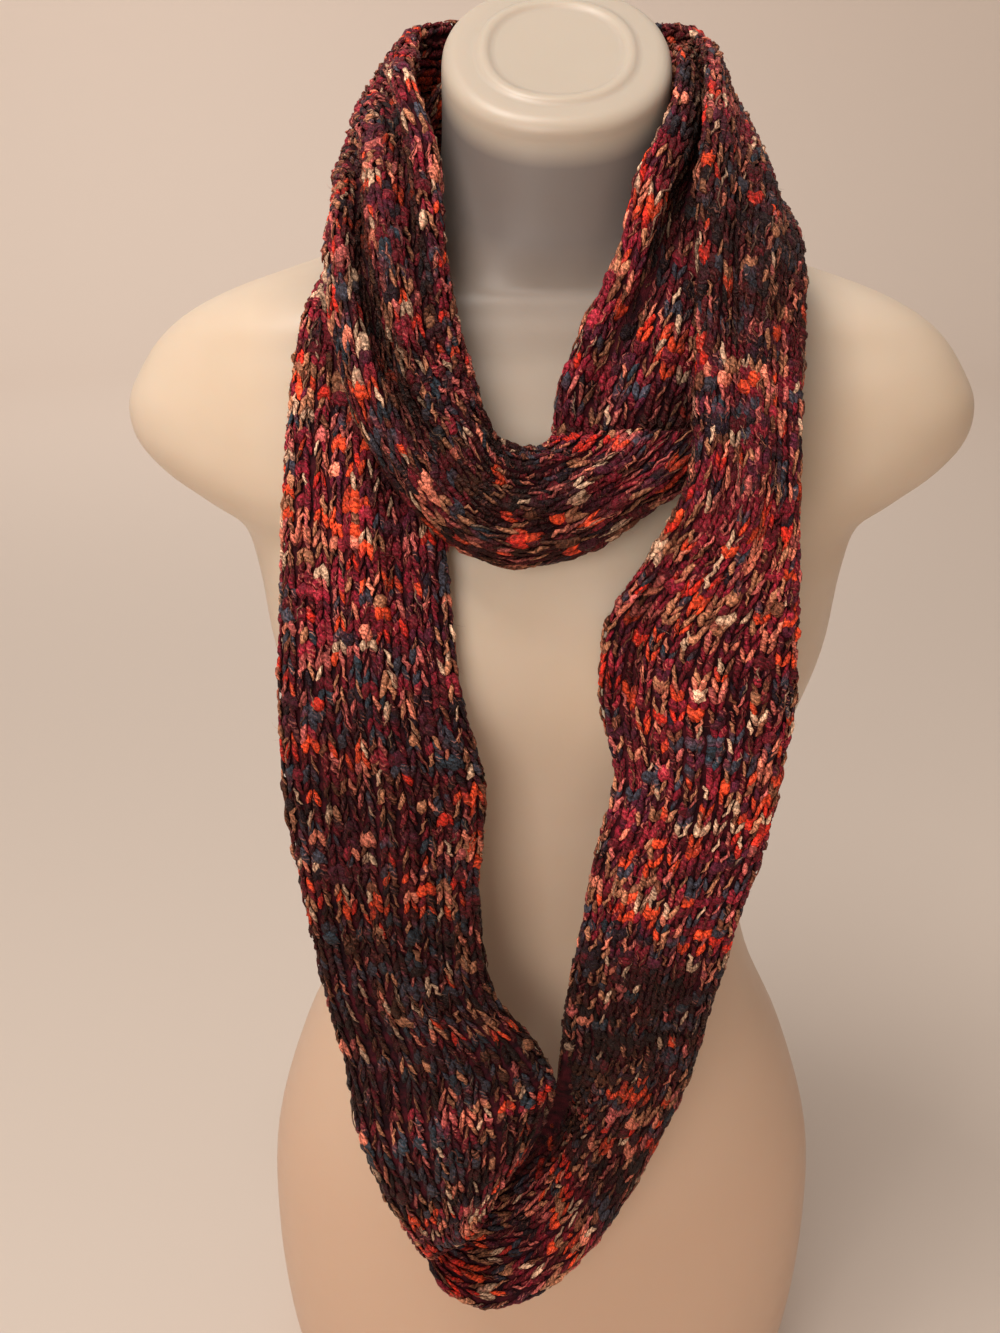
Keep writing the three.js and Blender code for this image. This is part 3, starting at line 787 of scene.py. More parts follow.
@dataclass
class DressForm:
    """The limbless form that carries the scarf: torso, shoulders and a slanted neck top."""

    points_round: int = 112
    steps: int = 5
    roundness: float = 2.2
    rim_radius: float = 8
    rim_steps: int = 5
    base_edge: float = 2
    bust_rise: float = 24
    bust_x: float = 71
    bust_z: float = 540
    bust_spread: Pair = (45, 55)
    ring_steps: tuple[Pair, ...] = (
        (14, 8), (16.5, 8.1), (17.4, 8.9), (18.6, 9.5), (20, 9.7), (21.4, 9.5), (22.6, 8.9),
        (23.5, 8.1), (26, 8),
    )
    level_rounds: int = 8
    reach_limit: float = 1.3
    least_steep: float = 1e-4
    rows: np.ndarray = field(init=False)

    def __post_init__(self) -> None:
        """Works out the smooth level sections."""
        self.rows = smooth_rows(np.array(FORM_ROWS, float), self.steps)

    def section(self, height: np.ndarray) -> dict[str, np.ndarray]:
        """Sizes of the level section at each height.

        Args:
            height: Heights on the form's own slanted scale, in millimetres.

        Returns:
            The sizes by column name, with the tilt in radians.
        """
        sizes = {name: np.interp(height, self.rows[:, 0], self.rows[:, i])
                 for i, name in enumerate(FORM_COLUMNS)}
        sizes["tilt"] = np.radians(sizes["tilt"])
        return sizes

    def bust(self, x: np.ndarray, z: np.ndarray) -> np.ndarray:
        """How far the two soft mounds of the chest stand out at a place on the front.

        Args:
            x: Places across, in millimetres.
            z: Their heights.

        Returns:
            Millimetres to the front.
        """
        wide, high = self.bust_spread
        mounds = [np.exp(-(((x - side * self.bust_x) / wide) ** 2) - ((z - self.bust_z) / high) ** 2)
                  for side in (-1, 1)]
        return self.bust_rise * sum(mounds)

    def level(self, place: np.ndarray) -> np.ndarray:
        """1 on the surface, less inside and more outside.

        Args:
            place: Points of shape (..., 3), in millimetres.

        Returns:
            The level at each point.
        """
        x, y, z = place[..., 0], place[..., 1], place[..., 2]
        sizes = self.section(z)
        for _ in range(self.level_rounds):
            along = (y - sizes["shift"]) / np.cos(sizes["tilt"])
            along = np.clip(along, -self.reach_limit * sizes["front"], self.reach_limit * sizes["back"])
            sizes = self.section(z - along * np.sin(sizes["tilt"]))
        along = (y - sizes["shift"]) / np.cos(sizes["tilt"])
        reach = np.where(along > 0, sizes["back"], sizes["front"] + self.bust(x, z))
        total = np.abs(x / sizes["half_width"]) ** self.roundness + np.abs(along / reach) ** self.roundness
        return total ** (1 / self.roundness)

    def clearance(self, place: np.ndarray, probe: float = 0.5) -> tuple[np.ndarray, np.ndarray]:
        """Distance from the surface and the way straight out of it.

        Args:
            place: Points of shape (..., 3), in millimetres.
            probe: Step of the slopes, in millimetres.

        Returns:
            The distances, and unit vectors of shape (..., 3).
        """
        slope = np.stack([
            (self.level(place + step) - self.level(place - step)) / (2 * probe)
            for step in np.eye(3) * probe], axis=-1)
        steep = np.maximum(np.linalg.norm(slope, axis=-1), self.least_steep)
        return (self.level(place) - 1) / steep, slope / steep[..., None]

    def ring(self, sizes: np.ndarray, inset: float = 0, rise: float = 0) -> np.ndarray:
        """One closed ring of the form, in millimetres.

        Args:
            sizes: A row of the form's table.
            inset: How far in from the side.
            rise: How far up the section's own slanted axis.

        Returns:
            Points of shape (points_round, 3).
        """
        height, half_width, front, back, shift, tilt = sizes
        tilt = math.radians(tilt)
        turn = 2 * np.pi * np.arange(self.points_round) / self.points_round
        x = (half_width - inset) * signed_power(np.cos(turn), 2 / self.roundness)
        side = signed_power(np.sin(turn), 2 / self.roundness)
        reach = np.where(side > 0, back, front + self.bust(x, height)) - inset
        along = reach * side
        return np.stack([
            x,
            shift + along * math.cos(tilt) - rise * math.sin(tilt),
            height + along * math.sin(tilt) + rise * math.cos(tilt)], axis=-1)

    def build(self) -> bpy.types.Object:
        """Lofts the form from its base to the plain raised ring on its neck top.

        Returns:
            The form, attached to the root body and still undressed.
        """
        base, rim = self.rows[0], self.rows[-1]
        rings = [self.ring(base, inset=self.base_edge)]
        rings[0][:, 2] = 0
        lifted = base.copy()
        lifted[0] = self.base_edge
        rings.insert(0, np.repeat(rings[0].mean(axis=0)[None], self.points_round, axis=0))
        rings.append(self.ring(lifted))
        rings += [self.ring(row) for row in self.rows[1:]]
        for step in range(1, self.rim_steps + 1):
            turn = math.pi / 2 * step / self.rim_steps
            inset = self.rim_radius * (1 - math.cos(turn))
            rings.append(self.ring(rim, inset, self.rim_radius * math.sin(turn)))
        rings += [self.ring(rim, inset, rise) for inset, rise in self.ring_steps]
        rings.append(np.repeat(rings[-1].mean(axis=0)[None], self.points_round, axis=0))
        made = wrapped_sheet("dress_form", np.array(rings) * MM)
        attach(made, BODY)
        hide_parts("form_body")
        return made

    def dress(self, made: bpy.types.Object) -> None:
        """Gives the form its plastic."""
        made.data.materials.append(MilkyPlastic().material())


@dataclass
class ScarfRun:
    """The smooth outer surface of one unbroken run of the scarf, draped on the form.

    Sizes are in millimetres, and those named for rows or wales are in rows or columns of
    knitting. phase shifts each column along, drift shifts it slowly and sway bends it sideways.
    """

    chain: Chain
    form: DressForm
    row_pitch: float = 5.2
    wales: int = 22
    points_round: int = 88
    steps: int = 10
    fullness: float = 0.72
    rest_gap: float = 0.4
    push_rounds: int = 4
    least_slope: float = 0.35
    least_normal: float = 1e-9
    ground_inset: float = 1.4
    trough_sides: float = 3
    trough_ends: float = 0.6
    twist_speed: float = 1.9
    twist_delay: float = 0.55
    phase: float = 0.32
    drift: float = 0.4
    drift_rows: int = 10
    sway: float = 0.42
    sway_rows: int = 12
    sway_wales: int = 3
    stretches: list[Stretch] = field(init=False)
    length: float = field(init=False)
    stations: np.ndarray = field(init=False)
    marks: np.ndarray = field(init=False)
    starts: list[int] = field(init=False)
    places: np.ndarray = field(init=False)
    hollows: np.ndarray = field(init=False)
    normals: np.ndarray = field(init=False)
    turned: np.ndarray = field(init=False)
    girth: np.ndarray = field(init=False)
    phases: np.ndarray = field(init=False)
    drifts: np.ndarray = field(init=False)
    sways: np.ndarray = field(init=False)

    def __post_init__(self) -> None:
        """Works out the surface: one ring for every half row of knitting."""
        self.stretches = [s for s in STRETCHES if s.chain is self.chain]
        table = np.array([row + (s.folds,) for s in self.stretches for row in s.rows], float)
        fine = smooth_rows(table, self.steps)
        middles = (fine[:, 0:3] + fine[:, 3:6]) / 2
        travelled = np.concatenate([[0], np.cumsum(np.linalg.norm(np.diff(middles, axis=0), axis=1))])
        self.length = travelled[-1]
        count = round(self.length / (self.row_pitch / 2)) + 1
        self.stations = np.linspace(0, self.length, count)
        first_rows = np.cumsum([0] + [len(s.rows) for s in self.stretches])[:-1]
        self.marks = travelled[first_rows * self.steps]
        self.starts = [int(round(m / self.length * (count - 1))) for m in self.marks] + [count - 1]
        sections = np.stack([np.interp(self.stations, travelled, column) for column in fine.T], axis=-1)
        shaped = self.rings(sections)
        self.places, self.hollows = shaped[..., :3], shaped[..., 3]
        self.normals = self.outward()
        self.turned = self.twist()
        self.girth = np.linalg.norm(np.roll(self.places, -1, axis=1) - self.places, axis=-1).sum(axis=1)
        rng = np.random.default_rng(SEED + len(self.stretches))
        self.phases = rng.uniform(-self.phase, self.phase, self.wales)
        self.drifts = rng.uniform(-1, 1, (count // (2 * self.drift_rows) + 2, self.wales))
        self.sways = rng.uniform(
            -1, 1, (count // (2 * self.sway_rows) + 2, self.wales // self.sway_wales))

    def rings(self, sections: np.ndarray) -> np.ndarray:
        """Rings of the tube at each section, their points evenly spaced round it.

        Args:
            sections: The chain's table at each station, with the folds as its last column.

        Returns:
            Places and trough depths, of shape (sections, points_round, 4), in millimetres.
        """
        sizes = dict(zip((*SCARF_COLUMNS, "folds"), sections.T))
        outer, inner = (
            np.stack([sizes[f"{edge}_{axis}"] for axis in "xyz"], axis=-1) for edge in ("outer", "inner"))
        belly, thick, fold, lift, folds = (
            sizes[name][:, None] for name in ("belly", "thick", "fold", "lift", "folds"))
        middle = (outer + inner) / 2
        along = np.gradient(middle, axis=0)
        across = inner - outer
        out = np.cross(across, along)
        out /= np.linalg.norm(out, axis=1, keepdims=True)
        turn = 2 * np.pi * np.arange(self.points_round) / self.points_round
        share = np.cos(turn)[None, :]
        arch = belly * (1 - share**2) + fold * np.cos(np.pi * folds * share) * (1 - share**4)
        half = thick / 2 * (1 - share**2) ** (self.fullness / 2)
        line = middle[:, None] + share[..., None] * across[:, None] / 2

        def at(offset: np.ndarray) -> np.ndarray:
            """Points that far out from the line between the tube's edges."""
            return line + offset[..., None] * out[:, None]

        push = np.zeros_like(arch)
        for _ in range(self.push_rounds):
            distance, straight = self.form.clearance(at(arch - half + push))
            gain = np.maximum((straight * out[:, None]).sum(axis=-1), self.least_slope)
            push = np.maximum(0, push + (self.rest_gap + lift - distance) / gain)
        rise = thick / 2 * signed_power(np.sin(turn), self.fullness)[None, :]
        depth = self.troughs(share) * np.clip(np.sin(turn) * self.trough_sides, 0, 1)[None, :]
        surface = np.concatenate([at(arch + push + rise - depth), depth[..., None]], axis=-1)
        return np.array([self.even(ring) for ring in surface])

    def troughs(self, share: np.ndarray) -> np.ndarray:
        """Depth of the listed creases.

        Args:
            share: Places across the scarf, of shape (1, points), from -1 to 1.

        Returns:
            Millimetres at each station and place.
        """
        total = np.zeros((len(self.stations), share.shape[1]))
        for stretch, mark in zip(self.stretches, self.marks):
            for crease in stretch.creases:
                t = (self.stations - mark - crease.start) / (crease.end - crease.start)
                fade = np.sin(np.pi * np.clip(t, 0, 1)) ** self.trough_ends
                middle = np.interp(t, np.linspace(0, 1, len(crease.across)), crease.across)
                trough = np.exp(-(((share - middle[:, None]) / crease.width) ** 2))
                total += crease.depth * fade[:, None] * trough
        return total

    def twist(self) -> np.ndarray:
        """Turns the knit round the tube over the middle of each twisted stretch.

        Returns:
            How many columns it has turned by each station.
        """
        turned = np.zeros(len(self.stations))
        ends = [*self.marks[1:], self.length]
        for stretch, start, end in zip(self.stretches, self.marks, ends):
            share = (self.stations - start) / (end - start)
            t = np.clip(share * self.twist_speed - self.twist_delay, 0, 1)
            turned += stretch.twist * t * t * (3 - 2 * t)
        return turned

    def even(self, ring: np.ndarray) -> np.ndarray:
        """The same closed ring with its points evenly spaced.

        Args:
            ring: Places and trough depths, of shape (points_round, 4).

        Returns:
            The evenly spaced ones, in the same form.
        """
        closed = np.vstack([ring, ring[:1]])
        steps = np.linalg.norm(np.diff(closed[:, :3], axis=0), axis=1)
        travelled = np.concatenate([[0], np.cumsum(steps)])
        stations = np.linspace(0, travelled[-1], self.points_round, endpoint=False)
        return np.stack([np.interp(stations, travelled, axis) for axis in closed.T], axis=-1)

    def outward(self) -> np.ndarray:
        """Works out which way is straight out of the tube.

        Returns:
            Unit vectors, one for each of its places.
        """
        along = np.gradient(self.places, axis=0)
        around = np.roll(self.places, -1, axis=1) - np.roll(self.places, 1, axis=1)
        normal = np.cross(around, along)
        normal /= np.maximum(np.linalg.norm(normal, axis=-1, keepdims=True), self.least_normal)
        centre = self.places.mean(axis=1, keepdims=True)
        facing = np.sign(((self.places - centre) * normal).sum(axis=-1).mean())
        return normal * facing

    def round_size(self, first: int, last: int) -> float:
        """Mean way round the tube between two rings, in millimetres."""
        return float(self.girth[first:last + 1].mean())

    def length_of(self, first: int, last: int) -> float:
        """Length of the tube's middle line between two rings, in millimetres."""
        return self.length * (last - first) / (len(self.places) - 1)

    def wale_size(self, row: np.ndarray) -> np.ndarray:
        """Width of one column of knitting at each row, in millimetres."""
        return np.interp(row * 2, np.arange(len(self.girth)), self.girth) / self.wales

    def settle(self, row: np.ndarray, wale: np.ndarray) -> tuple[np.ndarray, np.ndarray]:
        """Moves stitches off an even grid, so that rows step and columns wander.

        Args:
            row: Whole rows from the run's start.
            wale: Whole columns.

        Returns:
            The places of the stitches' middles, in rows and columns.
        """
        step = self.phases[wale] + self.drift * read_grid(self.drifts, row / self.drift_rows, wale)
        coarse = wale * self.sways.shape[1] / self.wales
        return row + step, wale + 0.5 + self.sway * read_grid(self.sways, row / self.sway_rows, coarse)

    def spot(self, row: np.ndarray, wale: np.ndarray) -> tuple[np.ndarray, np.ndarray]:
        """Finds places on the grid of rings.

        Args:
            row: Rows of knitting from the run's start.
            wale: Columns of knitting round the tube.

        Returns:
            The ring, and the point of the ring.
        """
        ring = np.clip(row * 2, 0, len(self.places) - GRID_END)
        turned = wale + np.interp(ring, np.arange(len(self.turned)), self.turned)
        return ring, np.mod(turned / self.wales, 1) * self.points_round

    def at(self, row: np.ndarray, wale: np.ndarray, height: np.ndarray) -> np.ndarray:
        """Places over the ground of the knit.

        Args:
            row: Rows of knitting from the run's start.
            wale: Columns of knitting round the tube.
            height: Millimetres above the ground.

        Returns:
            Points, in millimetres.
        """
        spot = self.spot(row, wale)
        base, out = read_grid(self.places, *spot), read_grid(self.normals, *spot)
        return base + out * (height - self.ground_inset)[..., None]


def read_grid(grid: np.ndarray, row: np.ndarray, column: np.ndarray) -> np.ndarray:
    """Reads values between a grid's points.

    Args:
        grid: The values. Its columns run round, and its rows end at its edges.
        row: Places along it.
        column: Places round it.

    Returns:
        A value, or a row of values, for each place.
    """
    row = np.clip(row, 0, grid.shape[0] - GRID_END)
    low = np.floor(row).astype(int)
    left = np.floor(column).astype(int) % grid.shape[1]
    right = (left + 1) % grid.shape[1]
    up, side = row - low, column - np.floor(column)
    if grid.ndim == 3:
        up, side = up[..., None], side[..., None]
    near = grid[low, left] * (1 - side) + grid[low, right] * side
    far = grid[low + 1, left] * (1 - side) + grid[low + 1, right] * side
    return near * (1 - up) + far * up


@dataclass
class KnitGround:
    """The thin hollow wall under the stitches of one stretch."""

    run: ScarfRun
    stretch: Stretch
    first: int
    last: int
    wall: float = 1.5
    seam_gap: float = 0.3

    def build(self) -> bpy.types.Object:
        """Makes the wall as an open-ended tube on its solid's form.

        Returns:
            The wall, undressed.
        """
        part = np.append(np.arange(self.first, self.last - 1, 2), self.last)
        rings = self.run.places[part] - self.run.normals[part] * self.run.ground_inset
        for end, way in ((0, 1), (-1, -1)):
            along = rings[end + way].mean(axis=0) - rings[end].mean(axis=0)
            rings[end] += along / np.linalg.norm(along) * self.seam_gap / 2
        made = wrapped_sheet(self.stretch.name, rings[:, ::2] * MM)
        wall = made.modifiers.new("wall", "SOLIDIFY")
        wall.thickness = self.wall * MM
        wall.offset = -1
        return made


class Tint(Enum):
    """The yarn's colours, as they show in soft light."""

    BURGUNDY = (134, 24, 44)
    WINE = (98, 16, 32)
    RASPBERRY = (170, 40, 58)
    PLUM = (84, 24, 46)
    EMBER = (255, 82, 44)
    FLAME = (238, 52, 36)
    CORAL = (250, 140, 112)
    ROSE = (206, 100, 94)
    TAN = (200, 130, 96)
    BROWN = (126, 72, 52)
    CREAM = (244, 196, 162)
    SLATE = (62, 65, 78)
    TEAL = (42, 60, 72)
    INK = (24, 18, 34)


@dataclass(frozen=True)
class Palette:
    """How often each colour comes up in one family of the yarn."""

    shares: tuple[tuple[Tint, float], ...]

    def draw(self, rng: np.random.Generator, size: tuple[int, ...]) -> np.ndarray:
        """Draws colours at random.

        Args:
            rng: The source of the draws.
            size: The shape of what is drawn.

        Returns:
            Numbers into the list of tints.
        """
        tints = list(Tint)
        weights = np.array([dict(self.shares).get(tint, 0.0) for tint in tints])
        return rng.choice(len(tints), size=size, p=weights / weights.sum())


PLAIN = Palette(((Tint.BURGUNDY, 40), (Tint.WINE, 32), (Tint.RASPBERRY, 12), (Tint.PLUM, 16)))
SHADOW = Palette((
    (Tint.INK, 32), (Tint.SLATE, 30), (Tint.TEAL, 14), (Tint.BROWN, 6), (Tint.PLUM, 18)))
BRIGHT = Palette((
    (Tint.EMBER, 38), (Tint.FLAME, 18), (Tint.CORAL, 10), (Tint.ROSE, 5), (Tint.TAN, 20), (Tint.CREAM, 9)))
BINDER = Palette((
    (Tint.CREAM, 12), (Tint.TAN, 24), (Tint.ROSE, 24), (Tint.CORAL, 12), (Tint.BROWN, 18), (Tint.WINE, 10)))
TINTS = np.array([linear(*tint.value)[:3] for tint in Tint])
# How much of its light each colour keeps in a dark band's painted shade
COOL = {Tint.SLATE, Tint.TEAL}
COOL_KEPT = 0.32
BRIGHT_KEPT = 0.5
KEPT = np.array([
    COOL_KEPT if tint in COOL else BRIGHT_KEPT if tint in dict(BRIGHT.shares) else 0.0 for tint in Tint])


def ranged(span: Pair, share: np.ndarray) -> np.ndarray:
    """Values from a span's first number, with as much of its second added as the share says."""
    return span[0] + span[1] * share


def jitter(width: float, share: np.ndarray) -> np.ndarray:
    """Shifts of up to half a width either way, for shares from 0 to 1."""
    return width * (share - 0.5)


@dataclass(frozen=True)
class Spin:
    """How unevenly the yarn is spun. Turns are counted over the length of a stroke.

    arch_from and arch_part say which part of a half wave lifts the stroke, and the blends how
    soon, how far along and how much its second colour comes in.
    """

    ragged: Pair = (0.8, 1.2)
    crimp_depth: float = 0.22
    crimp_turns: float = 3.5
    wave_turns: float = 1.6
    arch_from: float = 0.08
    arch_part: float = 0.9
    blend_speed: float = 1.8
    blend_shift: float = 0.3
    blend_most: float = 0.6
    fibre_length: float = 900


@dataclass
class Strokes:
    """Many short bent strokes of yarn, with one value of each field for each stroke.

    row and wale are the stroke's middle, rise and lean its half length in rows and columns.
    width and height are its half sizes, base and arch lift it, and wave bends it, in millimetres.
    room is the share of the height that fits, shade the share of the light that gets there, and
    crimp how strongly the yarn is twisted.
    """

    row: np.ndarray
    wale: np.ndarray
    rise: np.ndarray
    lean: np.ndarray
    width: np.ndarray
    height: np.ndarray
    base: np.ndarray
    arch: np.ndarray
    wave: np.ndarray
    room: np.ndarray
    shade: np.ndarray
    crimp: np.ndarray
    colour: np.ndarray
    second: np.ndarray

    def only(self, chosen: np.ndarray) -> "Strokes":
        """The strokes that a mask picks."""
        return Strokes(**{part.name: getattr(self, part.name)[chosen] for part in fields(self)})

    def laid(
        self, run: ScarfRun, template: Template, rng: np.random.Generator, spin: Spin = Spin(),
    ) -> Batch:
        """Bends one copy of the template into each stroke.

        Args:
            run: The surface that the strokes lie on.
            template: The shape of a stroke, along its own Z.
            rng: The source of its unevenness.
            spin: How uneven it is.

        Returns:
            The copies, ready to be joined.
        """
        x, y, z = (template.points[None, :, axis] for axis in range(3))
        t = (z + 1) / 2
        count, size = len(self.row), template.points.shape[0]
        width, height, crimp, rise, lean = (
            value[:, None] for value in (self.width, self.height, self.crimp, self.rise, self.lean))
        phase = rng.uniform(0, 1, (count, 1))
        crimped = 1 + spin.crimp_depth * crimp * np.sin(2 * np.pi * (spin.crimp_turns * t + phase))
        ragged = rng.uniform(*spin.ragged, (count, size)) * crimped
        wale_size = run.wale_size(self.row)[:, None]
        tilt = np.arctan2(lean * wale_size, rise * run.row_pitch)
        across = width * ragged * x + self.wave[:, None] * np.sin(2 * np.pi * (spin.wave_turns * t + phase))
        row = self.row[:, None] + rise * z + across * np.sin(tilt) / run.row_pitch
        wale = self.wale[:, None] - lean * z + across * np.cos(tilt) / wale_size
        bow = np.sin(np.pi * np.clip(t * spin.arch_part + spin.arch_from, 0, 1))
        lift = (self.base[:, None] + self.arch[:, None] * bow + height * ragged * y) * self.room[:, None]
        way = rng.choice((-1, 1), (count, 1))
        blend = np.clip((t - 0.5) * way * spin.blend_speed + phase * spin.blend_shift, 0, spin.blend_most)
        blend = blend[..., None]
        colours = np.ones((count, size, 4))
        colours[..., :3] = self.colour[:, None] * (1 - blend) + self.second[:, None] * blend
        # painted shade: the colours are darkened by the share of light that reaches the stroke
        colours[..., :3] *= self.shade[:, None, None]
        # the pale ply's share, dimmed by the painted shade
        colours[..., 3] = crimp * np.minimum(self.shade, 1)[:, None]
        length = 2 * rise * run.row_pitch
        start = rng.uniform(0, spin.fibre_length, (count, 1))
        fibre = np.stack(np.broadcast_arrays(width * x, height * y, start + length * t), axis=-1)
        return Batch(template, run.at(row, wale, lift) * MM, colours, fibre)


@dataclass(frozen=True)
class DyeingAndPaintedShade:
    """How the yarn's colours clump, and how dark the dark bands and the troughs are.

    A patch is a few rows long. A stitch takes the colour beside it below side_copy, and that of
    the row before it above row_copy, for random shares from 0 to 1. light is what a stitch has
    before its band takes fall times the square of its gloom, down to floor; this darkening is partly
    the dark-dyed yarn and partly painted shade. In a trough, painted shade takes trough_shade_fall for each
    millimetre of depth, down to trough_shade_floor.
    """

    patch_rows: int = 3
    patches_round: int = 6
    patch_weight: float = 0.9
    stitch_weight: float = 0.6
    side_copy: float = 0.5
    row_copy: float = 0.72
    # the dark bands' darkening: partly dark-dyed yarn, partly painted shade
    light: float = 1.35
    fall: float = 2.6
    floor: float = 0.18
    # painted shade in the troughs
    trough_shade_fall: float = 0.072
    trough_shade_floor: float = 0.12


@dataclass(frozen=True)
class LegSizes:
    """Each stitch's two leaning legs, some thick as slubs and some thin.

    foot and apex are in columns from the stitch's middle, and half_rise in rows. A pair is a
    start and what a random share adds to it.
    """

    foot: float = 0.4
    foot_jitter: float = 0.1
    apex: float = 0.075
    apex_jitter: float = 0.08
    jog: Pair = (0.3, 0.2)
    half_rise: float = 0.92
    rise: Pair = (0.86, 0.3)
    half_width: float = 1.7
    half_height: float = 1.25
    bulk: Pair = (0.72, 0.62)
    bulk_power: float = 1.5
    bulk_jitter: float = 0.2
    base: Pair = (0.1, 0.5)
    wave: float = 0.35
    wave_shift: float = 0.3
    crimp: Pair = (-0.4, 1.5)
    tone: Pair = (0.7, 0.6)
    leg_tone: Pair = (0.8, 0.4)
    stray_share: float = 0.16
    slub_share: float = 0.07
    slub_breadth: float = 1.5
    slub_rise: float = 0.85
    slub_crimp: float = 0.05
    thin_share: float = 0.24
    thin_breadth: float = 0.62
    thin_base: float = 0.7
    thin_wave: Pair = (0.3, 0.6)
    thin_light: float = 0.34
    least_room: float = 0.3
    room_light: Pair = (0.4, 0.6)


@dataclass(frozen=True)
class NubSizes:
    """Short thick lumps of loose fibre, each over a whole stitch."""

    share: float = 0.03
    least_room: float = 0.8
    side_jitter: float = 0.3
    rise: Pair = (0.5, 0.45)
    lean_jitter: float = 0.16
    width: Pair = (2.3, 1.5)
    height: Pair = (1.5, 0.5)
    base: Pair = (1.0, 0.4)
    arch: float = 0.5
    wave: float = 0.3
    crimp: float = 0.25
    brightness: float = 1.1


@dataclass(frozen=True)
class PlySizes:
    """Thin crinkled plies that wander over some of the legs."""

    share: float = 0.15
    least_room: float = 0.8
    row_jitter: float = 0.5
    wale_jitter: float = 0.2
    rise: Pair = (0.75, 0.8)
    lean: Pair = (0.5, 1.0)
    width: Pair = (0.42, 0.38)
    height: Pair = (0.45, 0.35)
    over: float = 0.9
    arch: Pair = (0.7, 0.6)
    wave: Pair = (0.35, 0.5)
    own_colour: float = 0.5
    second: float = 0.6


@dataclass(frozen=True)
class HairSizes:
    """Fine hairs that stand off the yarn, one for each gap of square millimetres."""

    gap: float = 115
    least_room: float = 0.9
    root: float = 1.6
    reach: Pair = (2.5, 6.5)
    steep: Pair = (0.25, 0.5)
    droop: float = 0.25
    shorten: float = 0.3
    curl: float = 0.5
    half_width: float = 0.075
    own_colour: float = 0.6
    fibre_length: int = 500


@dataclass(frozen=True)
class Shading:
    """Slanted rays out of each stroke. The share that goes free says how much light gets in."""

    rays: int = 8
    reach: float = 45
    out: float = 0.6
    side: float = 0.8
    gain: float = 1.3
    cut: float = 0.3
    least: float = 0.12
    helper: Triple = (0.3, 0.5, 0.81)


